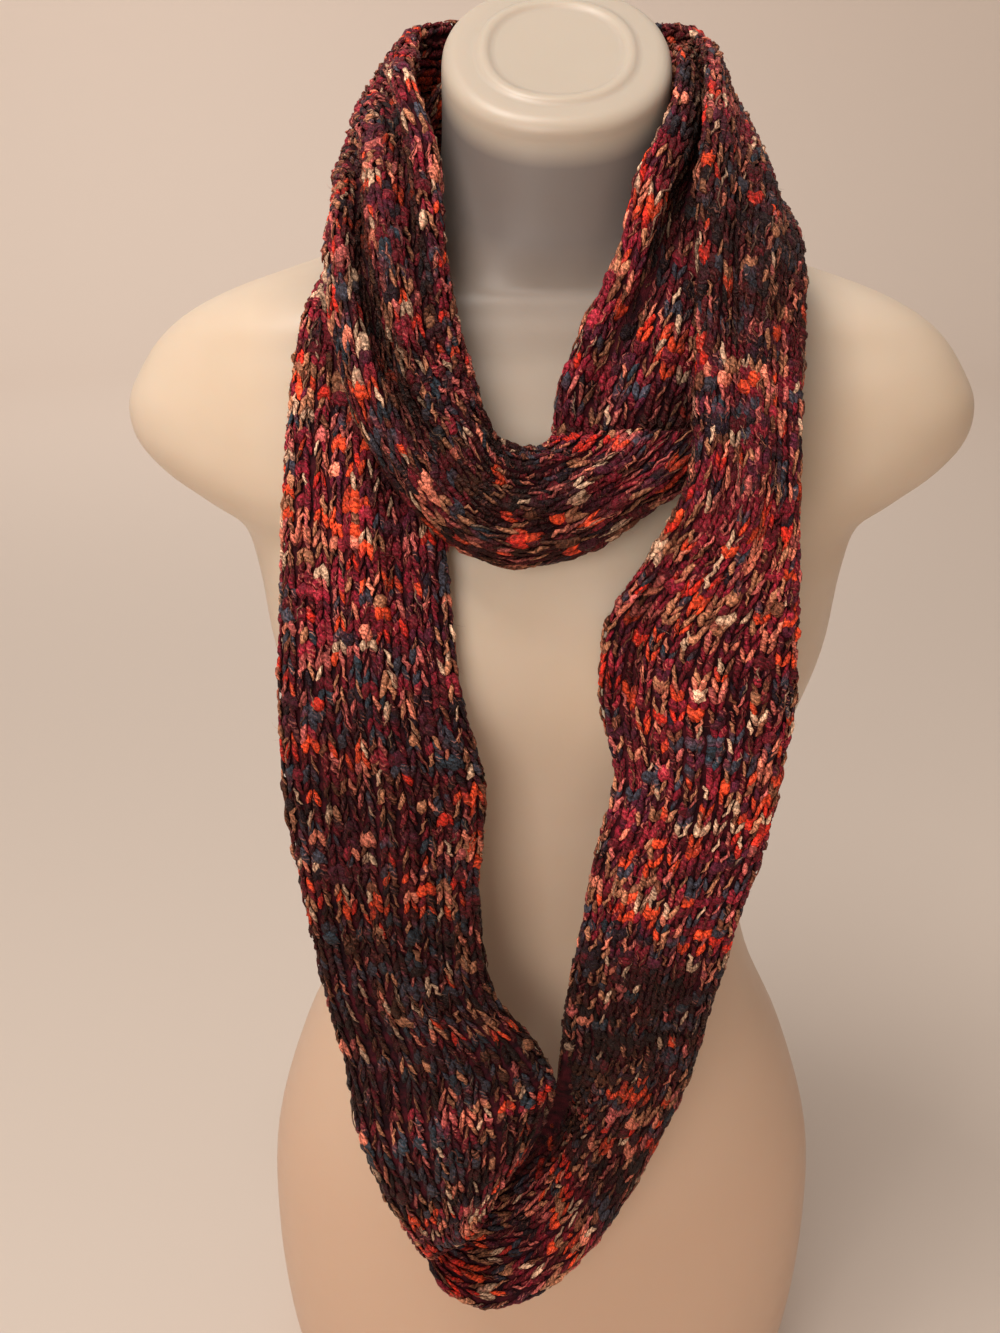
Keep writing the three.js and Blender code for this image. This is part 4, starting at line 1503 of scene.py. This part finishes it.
@dataclass
class KnitStitches:
    """The yarn of one stretch: leaning legs nested into columns, slubs, loose plies and fuzz."""

    run: ScarfRun
    stretch: Stretch
    first: int
    last: int
    seed: int
    full_height: float = 2.9
    back_turn: float = 0.35
    dye_and_shade: DyeingAndPaintedShade = DyeingAndPaintedShade()
    leg: LegSizes = LegSizes()
    nub: NubSizes = NubSizes()
    ply: PlySizes = PlySizes()
    hair: HairSizes = HairSizes()
    shading: Shading = Shading()
    fine_leg: Template = field(default_factory=lambda: Template.spindle(5, 5))
    plain_leg: Template = field(default_factory=lambda: Template.spindle(4, 4))
    thin_ply: Template = field(default_factory=lambda: Template.spindle(3, 7))
    round_nub: Template = field(default_factory=lambda: Template.spindle(6, 5))
    curly_hair: Template = field(default_factory=lambda: Template.hair(3, 3))
    rows: np.ndarray = field(init=False)
    rng: np.random.Generator = field(init=False)
    gloom: np.ndarray = field(init=False)
    tint_grid: np.ndarray = field(init=False)

    def __post_init__(self) -> None:
        """Lists the rows whose middle lies on this stretch and draws their colours."""
        every = np.arange(0, len(self.run.places) // 2)
        self.rows = every[(every * 2 >= self.first) & (every * 2 < self.last)]
        self.rng = np.random.default_rng(self.seed)
        self.tint_grid = self.tints()

    def tints(self) -> np.ndarray:
        """Colours in clumps and short runs, dark and bright as the stretch's tones say.

        Returns:
            Numbers into the list of tints, one for each stitch.
        """
        rng, dye_and_shade, shape = self.rng, self.dye_and_shade, (len(self.rows), self.run.wales)
        row, wale = np.meshgrid(np.arange(shape[0]), np.arange(shape[1]), indexing="ij")
        coarse = rng.normal(0, 1, (shape[0] // dye_and_shade.patch_rows + 2, dye_and_shade.patches_round))
        patches = read_grid(coarse, row / dye_and_shade.patch_rows, wale * dye_and_shade.patches_round / shape[1])
        spread = dye_and_shade.patch_weight * patches + dye_and_shade.stitch_weight * rng.normal(0, 1, shape)
        rank = spread.ravel().argsort().argsort().reshape(shape) / spread.size
        share = np.linspace(0, 1, shape[0])
        places, dark, bright = np.array(self.stretch.tones).T
        self.gloom = np.interp(share, places, dark)
        dark, bright = self.gloom[:, None], np.interp(share, places, bright)[:, None]
        shadow, plain, glow = (family.draw(rng, shape) for family in (SHADOW, PLAIN, BRIGHT))
        copy = rng.random(shape)
        for grid in (shadow, plain, glow):
            for step in range(1, shape[1]):
                beside = copy[:, step] < dye_and_shade.side_copy
                grid[:, step] = np.where(beside, grid[:, step - 1], grid[:, step])
            grid[1:] = np.where(copy[1:] > dye_and_shade.row_copy, grid[:-1], grid[1:])
        return np.where(rank < dark, shadow, np.where(rank > 1 - bright, glow, plain))

    def legs(self, others: list[BVHTree], cloth: BVHTree) -> Strokes:
        """Two leaning legs for each stitch, both thick where it is a slub.

        Args:
            others: What lies near this stretch, so that hidden stitches are left out.
            cloth: All of the scarf's walls, which keep the light from its hollows.

        Returns:
            The strokes that have room above the ground.
        """
        rng, run, leg = self.rng, self.run, self.leg
        row, wale, side = (part.ravel() for part in np.meshgrid(
            np.arange(len(self.rows)), np.arange(run.wales), (-1, 1), indexing="ij"))
        count = len(row)
        row_at, wale_at = run.settle(self.rows[row], wale)
        own = rng.random((len(self.rows), run.wales, 5))[row, wale]
        loose = rng.random((count, 4))
        bulk = ranged(leg.bulk, own[:, 0] ** leg.bulk_power) + jitter(leg.bulk_jitter, loose[:, 0])
        foot = leg.foot + jitter(leg.foot_jitter, loose[:, 1])
        apex = leg.apex + jitter(leg.apex_jitter, loose[:, 2])
        stray = loose[:, 3] < leg.stray_share
        tint = np.where(stray, PLAIN.draw(rng, (count,)), self.tint_grid[row, wale])
        slub = own[:, 2] < leg.slub_share
        thin = ~slub & (loose[:, 0] > 1 - leg.thin_share)
        tint = np.where(thin, BINDER.draw(rng, (count,)), tint)
        kept = np.where(thin, leg.thin_light, KEPT[tint])
        tone = (leg.tone[0] + leg.tone[1] * own[:, 3] * ranged(leg.leg_tone, loose[:, 0]))[:, None]
        second = TINTS[np.where(loose[:, 0] < 0.5, PLAIN.draw(rng, (count,)), tint)]
        broad = np.select([slub, thin], [leg.slub_breadth, leg.thin_breadth], 1.0)
        leg_wave = leg.wave * (loose[:, 1] - leg.wave_shift)
        leg_crimp = np.clip(ranged(leg.crimp, loose[:, 1]), 0, 1)
        strokes = Strokes(
            row=row_at + jitter(leg.jog[0], own[:, 1]),
            wale=wale_at + side * (foot + apex) / 2 + jitter(leg.jog[1], own[:, 4]),
            rise=leg.half_rise * ranged(leg.rise, loose[:, 3]) * np.where(slub, leg.slub_rise, 1.0),
            lean=side * (foot - apex) / 2,
            width=leg.half_width * bulk * broad,
            height=leg.half_height * bulk * np.sqrt(broad),
            base=ranged(leg.base, loose[:, 2]) + leg.thin_base * thin,
            arch=np.ones(count),
            wave=np.where(thin, ranged(leg.thin_wave, loose[:, 1]), leg_wave),
            room=np.ones(count),
            shade=self.glow(row_at, wale_at, kept),
            crimp=np.where(slub, leg.slub_crimp, np.where(thin, 1.0, leg_crimp)),
            colour=TINTS[tint] * tone,
            second=second * tone)
        strokes.room = self.room(strokes, others)
        strokes = strokes.only(strokes.room > leg.least_room)
        # painted shade where the stroke is squeezed under other layers and in the cloth's hollows
        strokes.shade *= ranged(leg.room_light, strokes.room) * self.openness(strokes, cloth)
        return strokes

    def glow(self, row: np.ndarray, wale: np.ndarray, kept: np.ndarray) -> np.ndarray:
        """How light the yarn is, as painted shade in its colour: deep in dark bands, which are partly
        dark-dyed yarn, and in troughs, less so where it is bright.

        Args:
            row: Each stroke's place in rows of the run.
            wale: Its place in columns.
            kept: The share of its light that a dark band leaves it.

        Returns:
            A factor for each stroke's colour.
        """
        dye_and_shade = self.dye_and_shade
        gloom = np.interp(row, self.rows, self.gloom)
        # painted shade of the dark bands, beside their dark-dyed yarn
        level = kept + (1 - kept) * np.maximum(dye_and_shade.light - dye_and_shade.fall * gloom ** 2, dye_and_shade.floor)
        depth = read_grid(self.run.hollows, *self.run.spot(row, wale))
        # painted shade in the troughs, by their depth
        return level * np.maximum(1 - dye_and_shade.trough_shade_fall * depth, dye_and_shade.trough_shade_floor)

    def nubs(self, legs: Strokes) -> Strokes:
        """Short thick lumps of loose fibre.

        Args:
            legs: The legs that they lie on.

        Returns:
            Their strokes, each over a whole stitch.
        """
        rng, nub = self.rng, self.nub
        legs = legs.only((rng.random(len(legs.row)) < nub.share) & (legs.room > nub.least_room))
        count = len(legs.row)
        loose = rng.random((count, 5))
        return Strokes(
            row=legs.row,
            wale=np.floor(legs.wale) + 0.5 + jitter(nub.side_jitter, loose[:, 0]),
            rise=ranged(nub.rise, loose[:, 1]),
            lean=jitter(nub.lean_jitter, loose[:, 2]),
            width=ranged(nub.width, loose[:, 3]),
            height=ranged(nub.height, loose[:, 4]),
            base=ranged(nub.base, loose[:, 0]),
            arch=np.full(count, nub.arch),
            wave=nub.wave * loose[:, 1],
            room=legs.room,
            shade=legs.shade,
            crimp=nub.crimp * loose[:, 2],
            colour=legs.colour * nub.brightness,
            second=legs.colour)

    def plies(self, legs: Strokes) -> Strokes:
        """Thin crinkled plies that wander.

        Args:
            legs: The legs that they lie on.

        Returns:
            Their strokes.
        """
        rng, ply = self.rng, self.ply
        legs = legs.only((rng.random(len(legs.row)) < ply.share) & (legs.room > ply.least_room))
        count = len(legs.row)
        loose = rng.random((count, 5))
        own_colour = TINTS[BINDER.draw(rng, (count,))]
        colour = ply.own_colour * own_colour + (1 - ply.own_colour) * legs.colour
        return Strokes(
            row=legs.row + jitter(ply.row_jitter, loose[:, 0]),
            wale=legs.wale + jitter(ply.wale_jitter, loose[:, 1]),
            rise=legs.rise * ranged(ply.rise, loose[:, 2]),
            lean=legs.lean * ranged(ply.lean, loose[:, 3]),
            width=ranged(ply.width, loose[:, 4]),
            height=ranged(ply.height, loose[:, 4]),
            base=legs.base + ply.over * legs.height,
            arch=ranged(ply.arch, loose[:, 0]),
            wave=ranged(ply.wave, loose[:, 1]),
            room=legs.room,
            shade=legs.shade,
            crimp=np.ones(count),
            colour=colour,
            second=colour * ply.second)

    def fuzz(self, legs: Strokes) -> Batch:
        """Fine hairs that stand off the yarn, fall back and curl.

        Args:
            legs: The legs that they grow from.

        Returns:
            The hairs, ready to be joined.
        """
        rng, run, hair, template = self.rng, self.run, self.hair, self.curly_hair
        chosen = legs.only(legs.room > hair.least_room)
        area = run.length_of(self.first, self.last) * run.round_size(self.first, self.last)
        pick = rng.integers(0, len(chosen.row), int(area / hair.gap))
        row, wale = chosen.row[pick], chosen.wale[pick]
        count, height = len(pick), np.full(len(pick), hair.root)
        root = run.at(row, wale, height)
        out = run.at(row, wale, height + 1) - root
        way = rng.normal(0, 1, (count, 3))
        way -= (way * out).sum(axis=1, keepdims=True) * out
        way /= np.linalg.norm(way, axis=1, keepdims=True)
        other = np.cross(out, way)
        reach = ranged(hair.reach, rng.random((count, 1)) ** 2)[..., None]
        steep = ranged(hair.steep, rng.random((count, 1)))[..., None]
        curl = rng.uniform(-hair.curl, hair.curl, (count, 1))[..., None]
        x, y, z = (template.points[None, :, axis, None] for axis in range(3))
        t = (z + 1) / 2
        path = (out[:, None] * (steep * t - hair.droop * t**2)
                + way[:, None] * t * (1 - hair.shorten * t)
                + other[:, None] * curl * t**2) * reach
        thin = hair.half_width * (x * other[:, None] + y * out[:, None])
        own_colour = TINTS[BINDER.draw(rng, (count,))]
        blend = own_colour * hair.own_colour + chosen.colour[pick] * (1 - hair.own_colour)
        colours = np.ones((count, template.points.shape[0], 4))
        colours[..., :3] = blend[:, None]
        # painted shade, taken from the legs the hairs grow from
        colours[..., :3] *= chosen.shade[pick][:, None, None]
        colours[..., 3] = 0
        fibre = np.zeros((count, template.points.shape[0], 3))
        fibre += np.arange(count)[:, None, None] % hair.fibre_length
        return Batch(template, (root[:, None] + path + thin) * MM, colours, fibre)

    def room(self, strokes: Strokes, others: list[BVHTree]) -> np.ndarray:
        """How much of each stroke's height fits before something else is met.

        Args:
            strokes: The strokes at their full height.
            others: What they may meet.

        Returns:
            Shares of up to 1.
        """
        count = len(strokes.row)
        start = self.run.at(strokes.row, strokes.wale, np.zeros(count)) * MM
        end = self.run.at(strokes.row, strokes.wale, np.ones(count)) * MM
        free, full = np.ones(count), self.full_height * MM
        for i, (base, top) in enumerate(zip(start, end)):
            way = Vector(top - base).normalized()
            for tree in others:
                hit = tree.ray_cast(Vector(base) - way * MM, way, full + MM)
                if hit[0] is not None:
                    free[i] = min(free[i], (hit[3] - MM) / full)
        return free

    def openness(self, strokes: Strokes, cloth: BVHTree) -> np.ndarray:
        """How much light reaches each stroke, from the slanted rays out of it that go free.

        Args:
            strokes: The strokes.
            cloth: The walls that stop the rays.

        Returns:
            Shares of up to 1.
        """
        run, shading, free = self.run, self.shading, np.zeros(len(strokes.row))
        height = np.full(len(free), self.full_height)
        start = run.at(strokes.row, strokes.wale, height)
        out = run.at(strokes.row, strokes.wale, height + 1) - start
        side = np.cross(out, shading.helper)
        side /= np.linalg.norm(side, axis=1, keepdims=True)
        other = np.cross(out, side)
        for turn in np.linspace(0, 2 * math.pi, shading.rays, endpoint=False):
            slant = side * math.cos(turn) + other * math.sin(turn)
            ways = shading.out * out + shading.side * slant
            for i, (place, way) in enumerate(zip(start * MM, ways)):
                free[i] += cloth.ray_cast(place, way, shading.reach * MM)[0] is None
        return np.clip(shading.gain * free / shading.rays - shading.cut, shading.least, 1)

    def build(
        self, others: list[BVHTree], cloth: BVHTree,
    ) -> tuple[bpy.types.Object, bpy.types.Object]:
        """Lays the yarn of this stretch.

        Args:
            others: Search trees of what lies near it.
            cloth: One search tree of all the scarf's walls.

        Returns:
            The legs with their slubs, and the loose plies with the fuzz.
        """
        legs, run, rng = self.legs(others, cloth), self.run, self.rng
        top, bottom = run.at(legs.row, legs.wale, legs.base + 1), run.at(legs.row, legs.wale, legs.base)
        behind = (top - bottom)[:, 1] > self.back_turn
        stitches = joined(self.stretch.name + "_stitches", [
            legs.only(~behind).laid(run, self.fine_leg, rng),
            legs.only(behind).laid(run, self.plain_leg, rng),
            self.nubs(legs).laid(run, self.round_nub, rng)])
        strands = joined(self.stretch.name + "_strands", [
            self.plies(legs).laid(run, self.thin_ply, rng), self.fuzz(legs)])
        return stitches, strands


@dataclass
class Scarf:
    """The whole infinity scarf: ground walls and yarn of all its stretches."""

    form: DressForm

    def build(self, form_piece: bpy.types.Object) -> list[bpy.types.Object]:
        """Builds every stretch of both runs and attaches each piece to the root body.

        Args:
            form_piece: The finished dress form, which the yarn keeps clear of.

        Returns:
            The walls and their yarn.
        """
        runs = {chain: ScarfRun(chain, self.form) for chain in Chain}
        yarn, ground = YarnFinish().material(), ShadedGroundFinish().material()
        parts: dict[str, tuple[ScarfRun, int, int, bpy.types.Object]] = {}
        for run in runs.values():
            for number, stretch in enumerate(run.stretches):
                first, last = run.starts[number], run.starts[number + 1]
                wall = KnitGround(run, stretch, first, last).build()
                wall.data.materials.append(ground)
                parts[stretch.name] = (run, first, last, wall)
        trees = {name: tree_of(part[3]) for name, part in parts.items()}
        form_tree, cloth = tree_of(form_piece), tree_of(*(part[3] for part in parts.values()))
        made = []
        for number, stretch in enumerate(STRETCHES):
            run, first, last, wall = parts[stretch.name]
            names = [s.name for s in run.stretches]
            here = names.index(stretch.name)
            beside = set(names[max(here - 1, 0):here + 2])
            others = [form_tree] + [tree for name, tree in trees.items() if name not in beside]
            cover = KnitStitches(run, stretch, first, last, SEED + SEED_STEP * number)
            stitches, strands = cover.build(others, cloth)
            for piece in (stitches, strands):
                piece.data.materials.append(yarn)
            for piece in (wall, stitches, strands):
                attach(piece, BODY)
            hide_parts("scarf_" + stretch.name)
            flat = (run.round_size(first, last) * MM, run.length_of(first, last) * MM)
            LOG.info("%s: %.0f mm round, %.0f mm long, %d and %d triangles", stretch.name,
                     flat[0] / MM, flat[1] / MM, len(stitches.data.polygons), len(strands.data.polygons))
            made += [wall, stitches, strands]
        return made


def tree_of(*pieces: bpy.types.Object) -> BVHTree:
    """Makes one search tree of meshes, without their modifiers.

    Args:
        pieces: The objects.

    Returns:
        The tree, in metres.
    """
    corners, faces = [], []
    for piece in pieces:
        start = len(corners)
        corners += [vertex.co[:] for vertex in piece.data.vertices]
        faces += [[start + corner for corner in polygon.vertices] for polygon in piece.data.polygons]
    return BVHTree.FromPolygons(corners, faces)


@dataclass(frozen=True)
class Lamp:
    """One square soft light: its place, what it is turned to, its side in metres and its watts."""

    name: str
    place: Triple
    aim: Triple
    side: float
    power: float
    colour: Triple

    def hang(self) -> None:
        """Hangs the light and turns it to its aim."""
        data = bpy.data.lights.new(self.name, "AREA")
        data.size = self.side
        data.energy = self.power
        data.color = self.colour
        lamp = placed(self.name, data)
        lamp.location = self.place
        way = Vector(self.aim) - Vector(self.place)
        lamp.rotation_euler = way.to_track_quat("-Z", "Y").to_euler()


LAMPS = (
    Lamp("overhead", (-0.6, -0.6, 2.4), (0, 0, 0.45), 0.8, 30, (1.0, 0.94, 0.88)),
    Lamp("front_fill", (-0.8, -2.3, 1.1), (0, 0, 0.35), 1.2, 27, (1.0, 0.94, 0.88)),
    Lamp("wall_wash", (-1.0, 2.4, 2.8), (-0.8, 4.7, 1.0), 1.2, 46, (1.0, 0.94, 0.9)),
)


@dataclass
class Studio:
    """The camera, the soft lights and the pale cove. None of it is part of the object."""

    lens: float = 38.84
    pitch_down: float = 22.6
    place: Triple = (-0.027, -0.755, 0.828)
    floor_radius: float = 3.6
    cove_radius: float = 1.2
    wall_height: float = 3.4
    cove_steps: int = 12
    centre_radius: float = 0.001
    points_round: int = 72
    sensor: float = 36
    nearest: float = 0.01
    glow: float = 0.5
    glow_colour: Quad = (1.0, 0.95, 0.9, 1)

    def camera(self) -> None:
        """Sets the camera at the photograph's height, slant and distance."""
        data = bpy.data.cameras.new("camera")
        data.lens = self.lens
        data.sensor_width = self.sensor
        data.clip_start = self.nearest
        camera = placed("camera", data)
        camera.location = self.place
        camera.rotation_euler = (math.radians(90 - self.pitch_down), 0, 0)
        bpy.context.scene.camera = camera

    def cove(self) -> None:
        """Builds the round floor that curves up into a plain wall on every side."""
        profile = [(self.centre_radius, 0.0), (self.floor_radius / 2, 0.0), (self.floor_radius, 0.0)]
        for step in range(1, self.cove_steps + 1):
            turn = math.pi / 2 * step / self.cove_steps
            profile.append((self.floor_radius + self.cove_radius * math.sin(turn),
                            self.cove_radius * (1 - math.cos(turn))))
        profile.append((self.floor_radius + self.cove_radius, self.wall_height))
        shape = bmesh.new()
        line = [shape.verts.new((radius, 0, height)) for radius, height in profile]
        edges = [shape.edges.new(pair) for pair in zip(line, line[1:])]
        bmesh.ops.spin(shape, geom=line + edges, cent=(0, 0, 0), axis=(0, 0, 1), angle=2 * math.pi,
                       steps=self.points_round, use_merge=True)
        bmesh.ops.remove_doubles(shape, verts=shape.verts, dist=SAME_PLACE)
        floor = smooth_object("floor", shape)
        floor.data.materials.append(CoveFinish().material())

    def lights(self) -> None:
        """Hangs the lamps and sets the soft light all round."""
        for lamp in LAMPS:
            lamp.hang()
        world = bpy.data.worlds.new("soft_room")
        world.use_nodes = True
        world.node_tree.nodes["Background"].inputs["Color"].default_value = self.glow_colour
        world.node_tree.nodes["Background"].inputs["Strength"].default_value = self.glow
        bpy.context.scene.world = world

    def build(self) -> None:
        """Sets up the whole studio, with plain display colours."""
        self.camera()
        self.cove()
        self.lights()
        bpy.context.scene.view_settings.view_transform = "Standard"


def main() -> None:
    """Builds the studio, the form and the scarf."""
    logging.basicConfig(level=logging.INFO, format="%(message)s")
    Studio().build()
    form = DressForm()
    form_piece = form.build()
    form.dress(form_piece)
    LOG.info("dress_form: %d faces", len(form_piece.data.polygons))
    pieces = Scarf(form).build(form_piece)
    LOG.info("scarf: %d pieces", len(pieces))


if __name__ == "__main__":
    main()
